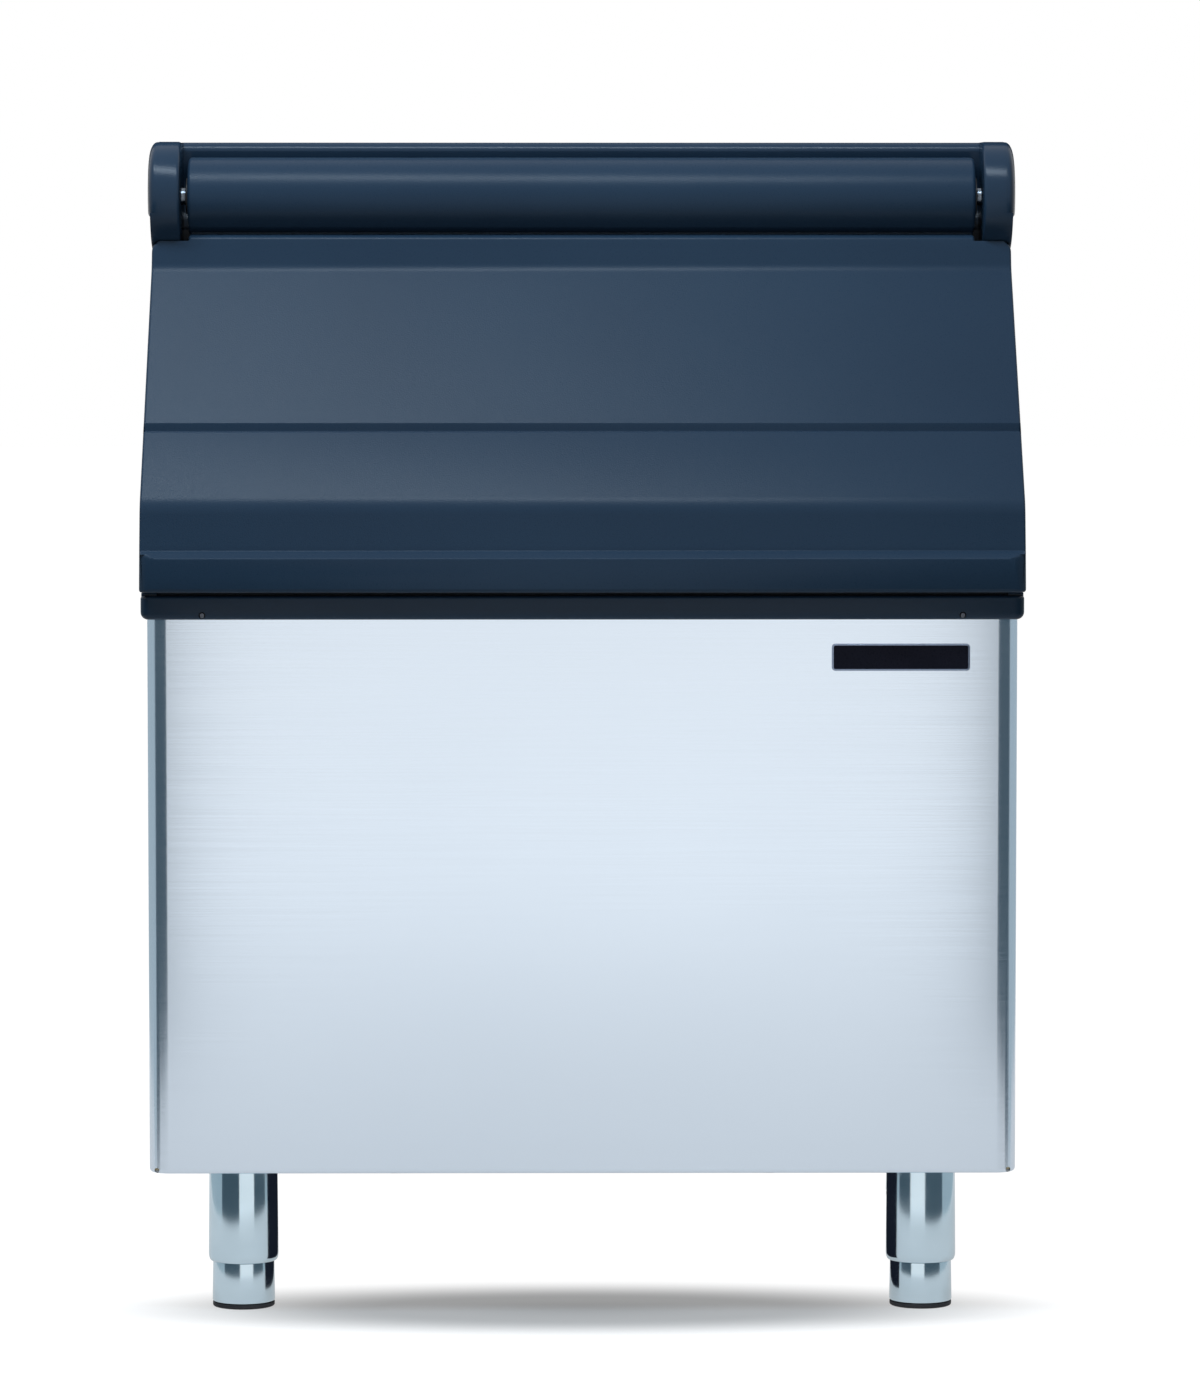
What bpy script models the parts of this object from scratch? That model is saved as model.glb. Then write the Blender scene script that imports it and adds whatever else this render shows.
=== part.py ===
"""Insulated ice storage bin: stainless cabinet, moulded top frame, lift-up door, adjustable legs.

Metres, +Z up. The door faces -Y, the bin stands on z = 0 and is centred on x = 0 and y = 0.
Outlines of pieces that run across the bin are drawn in its side view, as (y, z) points.
"""

import math

import bmesh
import bpy
from mathutils import Matrix, Vector

# Overall sizes
CASING_WIDTH = 0.762
OVERALL_DEPTH = 0.840
OVERALL_HEIGHT = 1.0346
LEG_HEIGHT = 0.1283
HOOD_HEIGHT = 0.3982
HANDLE_PROUD = 0.035

# Fits that serve the whole bin
GAP = 0.0003
WELD = 0.00001
OVERRUN = 0.020

# Sheet metal of the cabinet
SHEET = 0.0010
CASING_BEND = 0.018
FLANGE_WIDTH = 0.012
RELIEF_RADIUS = 0.0022
RELIEF_INSET = 0.0072
RELIEF_RISE = 0.0028
BASE_SHEET = 0.0012
BACK_SHEET = 0.0012

# Insulated walls and the tank in them
WALL = 0.050
LINER_WALL = 0.003
LINER_CORNER = 0.025
FLOOR_WALL = 0.0537
FLOOR_FALL = 0.012
FALL_START = 0.070

# Moulded top frame
FRAME_SIDE = 0.002
SILL_PROUD = 0.0085
SILL_SIDE = 0.0045
SILL_DEPTH = 0.0209
SILL_ROUND = 0.0065
SILL_END_ROUND = 0.008
SILL_EDGE = 0.0025
UPSTAND = 0.0276
FRAME_DEPTH = 0.021
FRAME_CAP = 0.003
RIM_HEIGHT = 0.0677
RIM_SIDE = 0.0045
RIM_WIDTH = 0.010
RIM_ROUND = 0.007
CASING_ENTRY = 0.018
RAIL_SETBACK = 0.0213
HEADER_LOW = 0.088
BAR_SETBACK = 0.0225
BAR_ROUND = 0.003
BAR_UNDERCUT = 0.010
THROAT_SETBACK = 0.078
THROAT_CORNER = 0.015
ACCESS_CORNER = 0.012

# Hinge line
HINGE_SETBACK = 0.192
EAR_RADIUS = 0.0486
EAR_WIDTH = 0.026
EAR_GAP = 0.0012
BARREL_RADIUS = 0.0345
BARREL_END_GAP = 0.0063
BARREL_ROUND = 0.003
BARREL_CLEAR = 0.0025
BARREL_END_WALL = 0.0157
PIN_RADIUS = 0.008
PIN_FIT = 0.0004
PIN_HEAD_RADIUS = 0.012
PIN_HEAD = 0.003
PIN_TAIL = 0.001
BUSH_WALL = 0.003
BUSH_FLANGE = 0.0165
BUSH_FLANGE_THICK = 0.002

# Door
DOOR_SIDE = 0.0045
DOOR_DRAFT = 0.003
DOOR_CORNER = 0.010
DOOR_GAP = 0.004
DOOR_THICKNESS = 0.036
DOOR_WALL = 0.0035
INNER_WALL = 0.003
LIP_PROUD = 0.012
LIP_HEIGHT = 0.0296
LIP_LEAN = 0.0035
LIP_END_ROUND = 0.016
LIP_FOOT_ROUND = 0.004
LIP_EDGE_ROUND = 0.0015
LEDGE_RISE = 0.0064
LEDGE_LEAN = 0.0025
LEDGE_ROUND = 0.001
BEND_RISE = 0.0801
BEND_ROUND = 0.030
GROOVE_RISE = 0.0622
GROOVE_WIDTH = 0.0075
GROOVE_DEPTH = 0.004
GROOVE_LEAN = 0.0012
SHOULDER_FORWARD = 0.034
SHOULDER_DROP = 0.064
SHOULDER_ROUND = 0.020
TOP_FORWARD = 0.0305
TOP_DROP = 0.0397
TOP_ROUND = 0.005
NECK_FORWARD = 0.012
NECK_BACK = 0.0112
NECK_RISE = 0.0045
NECK_HALF = 0.008
PLUG_PROUD = 0.010
PLUG_MARGIN = 0.009
PLUG_LOW = 0.0376
PLUG_HIGH = 0.106
SEAL_DEPTH = 0.008
SEAL_WIDTH = 0.014
SEAL_INSET = 0.007
SEAL_LOW = 0.008
SEAL_HIGH = 0.0625

# Hanging baffle inside the opening
BAFFLE_BACK = 0.038
BAFFLE_DROP = 0.114
BAFFLE_HEIGHT = 0.205
BAFFLE_SHEET = 0.004
BAFFLE_CORNER = 0.020
BAFFLE_PIN_RADIUS = 0.004
BAFFLE_RIB = 0.006
BRACKET_THICK = 0.014
BRACKET_HALF = 0.016
BRACKET_RISE = 0.018
BRACKET_ROUND = 0.006
BAFFLE_SIDE_GAP = 0.002

# Legs and feet
FRONT_LEG_SIDE = 0.0795
REAR_LEG_SIDE = 0.046
FRONT_LEG_INSET = 0.075
REAR_LEG_INSET = 0.075
LEG_RADIUS = 0.031
LEG_TAPER = 0.0007
LEG_WALL = 0.0015
LEG_TOP = 0.004
LEG_RIM_RISE = 0.0065
LEG_RIM_TURN = 0.0022
STUD_RADIUS = 0.006
STUD_LENGTH = 0.020
STUD_FIT = 0.0003
FOOT_HEIGHT = 0.0408
FOOT_RADIUS = 0.0278
FOOT_TAPER = 0.0006
FOOT_EDGE = 0.002
FOOT_STUD = 0.045
PAD_THICK = 0.004
PAD_RADIUS = 0.0275
INSERT_HEIGHT = 0.016
NUT_PLATE = 0.064
NUT_PLATE_THICK = 0.004
NUT_RADIUS = 0.012
NUT_HEIGHT = 0.014

# Drain
DRAIN_INSET = 0.120
DRAIN_TUBE = 0.0167
DRAIN_BORE = 0.0125
DRAIN_FLANGE = 0.030
DRAIN_FLANGE_THICK = 0.003
DRAIN_DROP = 0.028
DRAIN_NUT_RADIUS = 0.027
DRAIN_NUT_HEIGHT = 0.012
STRAINER_RADIUS = 0.024
STRAINER_THICK = 0.002
STRAINER_HOLE = 0.003
STRAINER_RING = 0.0085
STRAINER_HOLES = 6
ELBOW_DROP = 0.030
ELBOW_BEND = 0.024
ELBOW_REACH = 0.095

# Badge and sill screws
BADGE_INSET = 0.103
BADGE_DROP = 0.054
BADGE_WIDTH = 0.1206
BADGE_HEIGHT = 0.0236
BADGE_THICK = 0.0015
BADGE_RIM = 0.0016
BADGE_RECESS = 0.0005
BADGE_CORNER = 0.003
SCREW_INSET = 0.0494
SCREW_RISE = 0.004
SCREW_HEAD = 0.0027
SCREW_HEAD_THICK = 0.0022
SCREW_SHANK = 0.0015
SCREW_LENGTH = 0.012
SCREW_SINK = 0.0045

# Facets
ROUND_STEPS = 32
TURNED_STEPS = 24
SMALL_STEPS = 16
SCREW_STEPS = 12
HOLE_STEPS = 8
HEX_STEPS = 6
BARREL_STEPS = 40
NOTCH_STEPS = 48
EAR_STEPS = 14
BAY_STEPS = 10
ELBOW_STEPS = 6
ARC_STEPS = 4
CORNER_STEPS = 3
EDGE_STEPS = 2
ROUND_SHARE = 0.5

# Levels and faces that several pieces share
HALF = CASING_WIDTH / 2
FRONT = -OVERALL_DEPTH / 2
BACK = OVERALL_DEPTH / 2
CASING_FRONT = FRONT + HANDLE_PROUD
SILL_TOP = OVERALL_HEIGHT - HOOD_HEIGHT
SILL_BOTTOM = SILL_TOP - SILL_DEPTH
HINGE = Vector((FRONT + HINGE_SETBACK, OVERALL_HEIGHT - EAR_RADIUS))
RIM_BOTTOM = OVERALL_HEIGHT - RIM_HEIGHT
PAN_BOTTOM = LEG_HEIGHT + SHEET + GAP
PAN_TOP = PAN_BOTTOM + BASE_SHEET
TANK_HALF = HALF - WALL
TANK_FRONT = CASING_FRONT + WALL
TANK_BACK = BACK - WALL
TANK_FLOOR = LEG_HEIGHT + FLOOR_WALL
FRAME_HALF = HALF + FRAME_SIDE
DOOR_HALF = HALF + DOOR_SIDE
DOOR_INSIDE = DOOR_HALF - DOOR_DRAFT - DOOR_WALL
DOOR_BOTTOM = SILL_TOP + DOOR_GAP
BARREL_HALF = DOOR_HALF - EAR_WIDTH - EAR_GAP * 2 - BARREL_END_GAP
EAR_INSIDE = HALF + RIM_SIDE - EAR_WIDTH - EAR_GAP * 2
DRAIN_Y = BACK - DRAIN_INSET

# The door's face: upright to the bend, then leaning back to the hinge
BEND = Vector((FRONT + LIP_PROUD, SILL_TOP + BEND_RISE))
SHOULDER = Vector((HINGE.x - SHOULDER_FORWARD, HINGE.y - SHOULDER_DROP))
SLOPE = (SHOULDER - BEND).normalized()
INWARD = Vector((SLOPE.y, -SLOPE.x))
DOOR_TOP = Vector((HINGE.x - TOP_FORWARD, HINGE.y - TOP_DROP))

model = bpy.data.collections.new("ice_storage_bin")
tools = bpy.data.collections.new("cutters")
finishes = {}


def clear_scene():
    for old in list(bpy.data.objects):
        bpy.data.objects.remove(old, do_unlink=True)
    for group in (model, tools):
        bpy.context.scene.collection.children.link(group)


def finish(name, colour, roughness, metallic=0.0):
    material = bpy.data.materials.new(name)
    material.use_nodes = True
    shader = material.node_tree.nodes["Principled BSDF"]
    shader.inputs["Base Color"].default_value = (*colour, 1.0)
    shader.inputs["Roughness"].default_value = roughness
    shader.inputs["Metallic"].default_value = metallic
    finishes[name] = material


def make_finishes():
    finish("brushed_stainless", (0.55, 0.60, 0.66), 0.30, 1.0)
    finish("polished_stainless", (0.70, 0.72, 0.74), 0.12, 1.0)
    finish("galvanised_steel", (0.50, 0.52, 0.54), 0.45, 1.0)
    finish("slate_plastic", (0.050, 0.080, 0.120), 0.45)
    finish("tank_plastic", (0.80, 0.82, 0.82), 0.40)
    finish("insulation", (0.80, 0.68, 0.42), 0.90)
    finish("seal_rubber", (0.03, 0.03, 0.035), 0.75)
    finish("black_plastic", (0.02, 0.02, 0.022), 0.50)
    finish("white_plastic", (0.72, 0.73, 0.73), 0.45)
    finish("clear_plastic", (0.62, 0.70, 0.75), 0.30)


def put(obj, finish_name=None):
    """Files an object with the bin's pieces, or with the cutters where it has no finish."""
    for group in list(obj.users_collection):
        group.objects.unlink(obj)
    if finish_name:
        model.objects.link(obj)
        obj.data.materials.clear()
        obj.data.materials.append(finishes[finish_name])
    else:
        tools.objects.link(obj)
        obj.hide_render = True
        obj.display_type = "WIRE"
    return obj


def arc(centre, radius, start, end, steps):
    """Points along an arc, by angle from the first axis of the outline's plane."""
    turns = [start + (end - start) * i / steps for i in range(steps + 1)]
    return [centre + radius * Vector((math.cos(a), math.sin(a))) for a in turns]


def rounded(corners, steps=ARC_STEPS):
    """A closed outline from (first, second, radius) corners, each radius made an arc."""
    points = []
    for i, (first, second, radius) in enumerate(corners):
        here = Vector((first, second))
        if not radius:
            points.append(here)
            continue
        before = (Vector(corners[i - 1][:2]) - here).normalized()
        after = (Vector(corners[(i + 1) % len(corners)][:2]) - here).normalized()
        half = before.angle(after) / 2
        reach = radius / math.tan(half)
        centre = here + (before + after).normalized() * radius / math.sin(half)
        start, end = here + before * reach - centre, here + after * reach - centre
        sweep = start.angle(end)
        for step in range(steps + 1):
            share = step / steps
            near, far = math.sin((1 - share) * sweep), math.sin(share * sweep)
            points.append(centre + (start * near + end * far) / math.sin(sweep))
    return points


def prism(name, points, low, high, plane="YZ", finish_name=None):
    """A flat outline extruded from low to high, square to its plane, as a mesh."""
    curve = bpy.data.curves.new(name, "CURVE")
    curve.dimensions = "2D"
    curve.fill_mode = "BOTH"
    curve.extrude = (high - low) / 2
    spline = curve.splines.new("POLY")
    spline.points.add(len(points) - 1)
    for slot, point in zip(spline.points, points):
        slot.co = (point[0], point[1], 0, 1)
    spline.use_cyclic_u = True
    flat = bpy.data.objects.new(name, curve)
    bpy.context.scene.collection.objects.link(flat)
    middle = (low + high) / 2
    turn = {
        "YZ": Matrix(((0, 0, 1), (1, 0, 0), (0, 1, 0))),
        "XZ": Matrix(((1, 0, 0), (0, 0, -1), (0, 1, 0))),
        "XY": Matrix.Identity(3),
    }[plane].to_4x4()
    flat.matrix_world = turn @ Matrix.Translation((0, 0, middle))
    bpy.context.view_layer.update()
    return as_mesh(flat, finish_name)


def as_mesh(curve_object, finish_name=None):
    """A mesh object in place of a curve object, with its caps welded and its place kept."""
    name = curve_object.name
    graph = bpy.context.evaluated_depsgraph_get()
    mesh = bpy.data.meshes.new_from_object(curve_object.evaluated_get(graph))
    mesh.transform(curve_object.matrix_world)
    bpy.data.objects.remove(curve_object, do_unlink=True)
    work = bmesh.new()
    work.from_mesh(mesh)
    bmesh.ops.remove_doubles(work, verts=work.verts, dist=WELD)
    bmesh.ops.dissolve_limit(work, angle_limit=math.radians(0.5), verts=work.verts, edges=work.edges)
    bmesh.ops.recalc_face_normals(work, faces=work.faces)
    work.to_mesh(mesh)
    work.free()
    solid = bpy.data.objects.new(name, mesh)
    solid.name = name
    return put(solid, finish_name)


def box(name, low, high, finish_name=None):
    """A primitive cube between two corners, its scale in its mesh."""
    bpy.ops.mesh.primitive_cube_add(size=1)
    block = bpy.context.object
    block.name = name
    size = [b - a for a, b in zip(low, high)]
    middle = [(a + b) / 2 for a, b in zip(low, high)]
    block.data.transform(Matrix.Translation(middle) @ Matrix.Diagonal((*size, 1)))
    return put(block, finish_name)


def rod(name, radius, start, end, steps=SMALL_STEPS, finish_name=None):
    """A primitive cylinder between two points."""
    start, end = Vector(start), Vector(end)
    span = end - start
    bpy.ops.mesh.primitive_cylinder_add(vertices=steps, radius=radius, depth=span.length)
    bar = bpy.context.object
    bar.name = name
    turn = span.to_track_quat("Z", "Y").to_matrix().to_4x4()
    bar.data.transform(Matrix.Translation((start + end) / 2) @ turn)
    return put(bar, finish_name)


def turned(name, profile, place, steps, finish_name=None, along="Z", closed=False):
    """A Screw of an (r, height) profile that runs down its outer side, standing at place."""
    mesh = bpy.data.meshes.new(name)
    count = len(profile)
    last = count if closed else count - 1
    edges = [(i, (i + 1) % count) for i in range(last)]
    mesh.from_pydata([(r, 0, h) for r, h in profile], edges, [])
    piece = bpy.data.objects.new(name, mesh)
    screw = piece.modifiers.new("turn", "SCREW")
    screw.steps = screw.render_steps = steps
    screw.use_merge_vertices = True
    screw.merge_threshold = WELD
    turn = {"Z": (0, 0, 0), "X": (0, math.pi / 2, 0), "-X": (0, -math.pi / 2, 0)}[along]
    piece.rotation_euler = turn
    piece.location = place
    return put(piece, finish_name)


def join(target, tool, operation="DIFFERENCE"):
    """An exact Boolean of a piece and a tool, which stays among the cutters."""
    boolean = target.modifiers.new(tool.name, "BOOLEAN")
    boolean.object = tool
    boolean.operation = operation
    boolean.solver = "EXACT"
    return target


def bevel(piece, width, segments, angle=math.radians(50)):
    modifier = piece.modifiers.new("rounded edges", "BEVEL")
    modifier.width = width
    modifier.segments = segments
    modifier.limit_method = "ANGLE"
    modifier.angle_limit = angle
    return piece


def smooth(piece, angle=math.radians(35)):
    piece.data.shade_smooth()
    piece.data.set_sharp_from_angle(angle=angle)
    return piece


def carry(empty_name, place, pieces):
    """Hangs moving pieces on an empty that sits on their joint's axis."""
    empty = bpy.data.objects.new(empty_name, None)
    empty.location = place
    model.objects.link(empty)
    for piece in pieces:
        piece.parent = empty
        piece.matrix_parent_inverse = Matrix.Translation(-Vector(place))


def face_line(depth, foot, head):
    """The door's face moved inward by depth: its foot, bend and head, cut at two levels."""
    upright = BEND.x + depth
    on_slope = BEND + INWARD * depth
    bend_z = on_slope.y + (upright - on_slope.x) * SLOPE.y / SLOPE.x
    head_y = on_slope.x + (head - on_slope.y) * SLOPE.x / SLOPE.y
    return [Vector((upright, foot)), Vector((upright, bend_z)), Vector((head_y, head))]


def face_point(depth, back):
    """The point at a depth under the sloping face that lies as far back as asked."""
    on_slope = BEND + INWARD * depth
    return Vector((back, on_slope.y + (back - on_slope.x) * SLOPE.y / SLOPE.x))


def slope_point(depth, below_hinge):
    """The point at a depth under the door's face, and at a distance below the hinge along it."""
    across = (HINGE - BEND).dot(INWARD)
    return HINGE - SLOPE * below_hinge + INWARD * (depth - across)


# Cabinet
def wrap(name, outside, thickness, top_margin, low, finish_name=None):
    """The front and sides in one sheet, from a level up, open at the back and the top."""
    half, front = HALF + outside, CASING_FRONT - outside
    bend = CASING_BEND + outside
    left = arc(Vector((-half + bend, front + bend)), bend, math.pi, math.pi * 1.5, ARC_STEPS + 1)
    right = [Vector((-p.x, p.y)) for p in reversed(left)]
    path = [Vector((-half, BACK))] + left + right + [Vector((half, BACK))]
    mesh = bpy.data.meshes.new(name)
    edges = [(i, i + 1) for i in range(len(path) - 1)]
    mesh.from_pydata([(p.x, p.y, low) for p in path], edges, [])
    work = bmesh.new()
    work.from_mesh(mesh)
    wall = bmesh.ops.extrude_edge_only(work, edges=work.edges[:])["geom"]
    raised = [v for v in wall if isinstance(v, bmesh.types.BMVert)]
    bmesh.ops.translate(work, verts=raised, vec=(0, 0, OVERALL_HEIGHT - low))
    front_face = min(work.faces, key=lambda f: f.calc_center_median().y)
    front_face.normal_update()
    if front_face.normal.y > 0:
        bmesh.ops.reverse_faces(work, faces=work.faces[:])
    work.to_mesh(mesh)
    work.free()
    sheet = put(bpy.data.objects.new(name, mesh), finish_name)
    solid = sheet.modifiers.new("sheet thickness", "SOLIDIFY")
    solid.thickness = thickness
    solid.offset = -1
    solid.use_even_offset = True
    join(sheet, prism(name + "_top", sheet_top(top_margin), -HALF - OVERRUN, HALF + OVERRUN))
    return sheet


def sheet_top(margin):
    """All that lies above the casing's top edge, which the frame caps with a margin."""
    depth = DOOR_THICKNESS + SEAL_DEPTH + FRAME_CAP + margin
    low, high = SILL_TOP - FRAME_CAP - margin, RIM_BOTTOM + CASING_ENTRY - margin
    foot, bend, head = face_line(depth, low, high)
    ahead, behind, above = FRONT - OVERRUN, BACK + OVERRUN, OVERALL_HEIGHT + OVERRUN
    return [(ahead, foot.y), foot, bend, head, (behind, head.y), (behind, above), (ahead, above)]


def outer_casing():
    casing = wrap("outer_casing", 0, SHEET, GAP, LEG_HEIGHT, "brushed_stainless")
    straight, ledge = HALF - CASING_BEND, LEG_HEIGHT + SHEET
    fold_front = CASING_FRONT + SHEET / 2
    low, high = (-straight, fold_front, LEG_HEIGHT), (straight, CASING_FRONT + FLANGE_WIDTH, ledge)
    join(casing, box("front_flange", low, high), "UNION")
    for side in (-1, 1):
        inner, outer = side * (HALF - FLANGE_WIDTH), side * (HALF - SHEET / 2)
        low = (min(inner, outer), CASING_FRONT + CASING_BEND, LEG_HEIGHT)
        join(casing, box("side_flange", low, (max(inner, outer), BACK - SHEET, ledge)), "UNION")
        x, z = side * (HALF - RELIEF_INSET), LEG_HEIGHT + RELIEF_RISE
        ends = (x, CASING_FRONT - OVERRUN, z), (x, CASING_FRONT + CASING_BEND, z)
        join(casing, rod("corner_relief", RELIEF_RADIUS, *ends, SCREW_STEPS))
        x, z = side * (HALF - SCREW_INSET), SILL_BOTTOM + SCREW_RISE
        ends = (x, CASING_FRONT - OVERRUN, z), (x, CASING_FRONT + OVERRUN, z)
        join(casing, rod("screw_way", SCREW_SHANK + GAP, *ends, SCREW_STEPS))
    return casing


def plan_outline(margin, back):
    """The inside of the casing in plan, drawn in by a margin, with its two front bends."""
    half, front = HALF - SHEET - margin, CASING_FRONT + SHEET + margin
    bend = CASING_BEND - SHEET - margin
    return rounded([(-half, front, bend), (half, front, bend), (half, back, 0), (-half, back, 0)])


def base_pan():
    """The flat sheet under the foam, with holes for the leg studs and the drain."""
    outline = plan_outline(GAP, BACK - BACK_SHEET - GAP)
    pan = prism("base_pan", outline, PAN_BOTTOM, PAN_TOP, "XY", "galvanised_steel")
    low, high = PAN_BOTTOM - OVERRUN, PAN_TOP + OVERRUN
    for x, y in leg_places():
        join(pan, rod("stud_way", STUD_RADIUS + STUD_FIT, (x, y, low), (x, y, high)))
    drain_ends = (0, DRAIN_Y, low), (0, DRAIN_Y, high)
    join(pan, rod("drain_way", DRAIN_TUBE + GAP, *drain_ends, ROUND_STEPS))
    return pan


def back_panel():
    half = HALF - SHEET - GAP
    low, high = (-half, BACK - BACK_SHEET, PAN_BOTTOM), (half, BACK, RIM_BOTTOM - GAP)
    return box("back_panel", low, high, "galvanised_steel")


def frame_underside(margin):
    """All that lies above the underside of the top frame, lowered by a margin."""
    bend, head = underside_points(margin)
    ahead, behind, above = FRONT - OVERRUN, BACK + OVERRUN, OVERALL_HEIGHT + OVERRUN
    low, high = SILL_BOTTOM - margin, RIM_BOTTOM - margin
    return [(ahead, low), (bend.x, low), bend, head, (behind, high), (behind, above), (ahead, above)]


def underside_points(margin):
    """The bend behind the sill and the step under the rim, on the underside of the frame."""
    depth = DOOR_THICKNESS + SEAL_DEPTH + FRAME_DEPTH + margin
    line = face_line(depth, SILL_BOTTOM, RIM_BOTTOM - margin)
    back = TANK_FRONT + margin
    rise = (back - line[1].x) * SLOPE.y / SLOPE.x
    return Vector((back, line[1].y + rise)), line[2]


def tank_block(name, outside, finish_name=None):
    """The tank's outer body as an open surface, its floor falling to a flat by the drain."""
    bpy.ops.mesh.primitive_cube_add(size=1)
    block = bpy.context.object
    block.name = name
    low = Vector((-TANK_HALF - outside, TANK_FRONT - outside, TANK_FLOOR - outside))
    high = Vector((TANK_HALF + outside, TANK_BACK + outside, OVERALL_HEIGHT))
    middle = (low + high) / 2
    block.data.transform(Matrix.Translation(middle) @ Matrix.Diagonal((*(high - low), 1)))
    work = bmesh.new()
    work.from_mesh(block.data)
    flat_front = DRAIN_Y - FALL_START
    whole = work.verts[:] + work.edges[:] + work.faces[:]
    bmesh.ops.bisect_plane(work, geom=whole, plane_co=(0, flat_front, 0), plane_no=(0, 1, 0))
    for vertex in work.verts:
        if vertex.co.z < middle.z and vertex.co.y < flat_front - OVERRUN:
            vertex.co.z += FLOOR_FALL
    lid = [f for f in work.faces if f.calc_center_median().z > high.z - OVERRUN]
    bmesh.ops.delete(work, geom=lid, context="FACES")
    edges = [e for e in work.edges if not e.is_boundary and e.calc_face_angle(0) > math.radians(30)]
    bmesh.ops.bevel(
        work,
        geom=edges,
        offset=LINER_CORNER + outside,
        segments=CORNER_STEPS,
        profile=ROUND_SHARE,
        affect="EDGES",
    )
    work.to_mesh(block.data)
    work.free()
    return put(block, finish_name)


def liner():
    shell = tank_block("liner", LINER_WALL, "tank_plastic")
    solid = shell.modifiers.new("tank wall", "SOLIDIFY")
    solid.thickness = LINER_WALL
    solid.offset = -1
    solid.use_even_offset = True
    join(shell, prism("liner_top", frame_underside(GAP), -HALF, HALF))
    drain_ends = (0, DRAIN_Y, TANK_FLOOR - OVERRUN), (0, DRAIN_Y, TANK_FLOOR + OVERRUN)
    join(shell, rod("liner_drain_way", DRAIN_TUBE + GAP, *drain_ends, ROUND_STEPS))
    return smooth(shell)


def insulation_foam():
    """The rigid foam that fills the walls and the floor between the casing and the tank."""
    back = BACK - BACK_SHEET - GAP
    low, high = PAN_TOP + GAP, OVERALL_HEIGHT - GAP
    foam = prism("insulation_foam", plan_outline(GAP, back), low, high, "XY", "insulation")
    tank = tank_block("tank_space", LINER_WALL + GAP)
    cap = bmesh.new()
    cap.from_mesh(tank.data)
    bmesh.ops.holes_fill(cap, edges=[e for e in cap.edges if e.is_boundary])
    bmesh.ops.recalc_face_normals(cap, faces=cap.faces)
    cap.to_mesh(tank.data)
    cap.free()
    join(foam, tank)
    join(foam, prism("foam_top", frame_underside(GAP), -HALF - OVERRUN, HALF + OVERRUN))
    drain_ends = (0, DRAIN_Y, low - OVERRUN), (0, DRAIN_Y, TANK_FLOOR + OVERRUN)
    join(foam, rod("foam_drain_way", DRAIN_TUBE + GAP, *drain_ends, ROUND_STEPS))
    reach = NUT_PLATE / 2 + GAP
    plate_top = PAN_TOP + GAP + NUT_PLATE_THICK + GAP
    for x, y in leg_places():
        near, far = (x - reach, y - reach, low - OVERRUN), (x + reach, y + reach, plate_top)
        join(foam, box("plate_space", near, far))
        nut_ends = (x, y, low), (x, y, plate_top + NUT_HEIGHT)
        join(foam, rod("nut_space", NUT_RADIUS + GAP, *nut_ends, HEX_STEPS))
    return foam


# Top frame
def frame_outline():
    """The side view of the frame: rails up the slope, round ears at the hinge, the top rim."""
    depth = DOOR_THICKNESS + SEAL_DEPTH
    foot, bend, _ = face_line(depth, SILL_BOTTOM + SILL_EDGE, HINGE.y)
    head = face_point(depth, HINGE.x + RAIL_SETBACK)
    low_turn = -math.acos(RAIL_SETBACK / EAR_RADIUS)
    ear = arc(HINGE, EAR_RADIUS, low_turn, -math.pi * 1.5, EAR_STEPS)
    under_bend, under_head = underside_points(0)
    rear = [(BACK, OVERALL_HEIGHT), (BACK, RIM_BOTTOM)]
    return [foot, bend, head] + ear + rear + [under_head, under_bend, (TANK_FRONT, foot.y)]


def barrel_bay():
    """The space between the ears: open in front, hollowed behind the barrel and under the bar."""
    front = HINGE.x + BAR_SETBACK
    hollow = BARREL_RADIUS + BARREL_CLEAR
    low_turn = math.acos(BAR_SETBACK / hollow)
    high_turn = math.acos((BAR_SETBACK + BAR_UNDERCUT) / hollow)
    edge = Vector((front + BAR_ROUND, OVERALL_HEIGHT - BAR_ROUND))
    low = HINGE.y - EAR_RADIUS - GAP
    ahead, above = HINGE.x - EAR_RADIUS - OVERRUN, OVERALL_HEIGHT + OVERRUN
    points = [(ahead, low), (front, low)]
    points += arc(HINGE, hollow, -low_turn, high_turn, BAY_STEPS)
    points += arc(edge, BAR_ROUND, math.pi, math.pi / 2, ARC_STEPS)
    return points + [(front + BAR_ROUND, above), (ahead, above)]


def rim_outline():
    """The proud band along each side of the rim, rounded in front like the ear."""
    radius = EAR_RADIUS - GAP
    low = RIM_BOTTOM + GAP
    turn = math.pi + math.asin((HINGE.y - low) / radius)
    front = arc(HINGE, radius, math.pi / 2, turn, EAR_STEPS)
    return front + [(BACK - GAP, low), (BACK - GAP, OVERALL_HEIGHT - GAP)]


def sill_bar():
    """The bar under the door, rounded at its ends and along its lower front edge."""
    front, back, half = CASING_FRONT - SILL_PROUD, TANK_FRONT - GAP, HALF + SILL_SIDE
    view = rounded([
        (front, SILL_BOTTOM, SILL_ROUND),
        (back, SILL_BOTTOM, 0),
        (back, SILL_TOP, 0),
        (front, SILL_TOP, SILL_EDGE),
    ])
    plan = rounded([
        (-half, front, SILL_END_ROUND),
        (half, front, SILL_END_ROUND),
        (half, back + OVERRUN, 0),
        (-half, back + OVERRUN, 0),
    ])
    sill = prism("sill_bar", view, -half - OVERRUN, half + OVERRUN)
    limits = SILL_BOTTOM - OVERRUN, SILL_TOP + OVERRUN
    return join(sill, prism("sill_plan", plan, *limits, "XY"), "INTERSECT")


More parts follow.
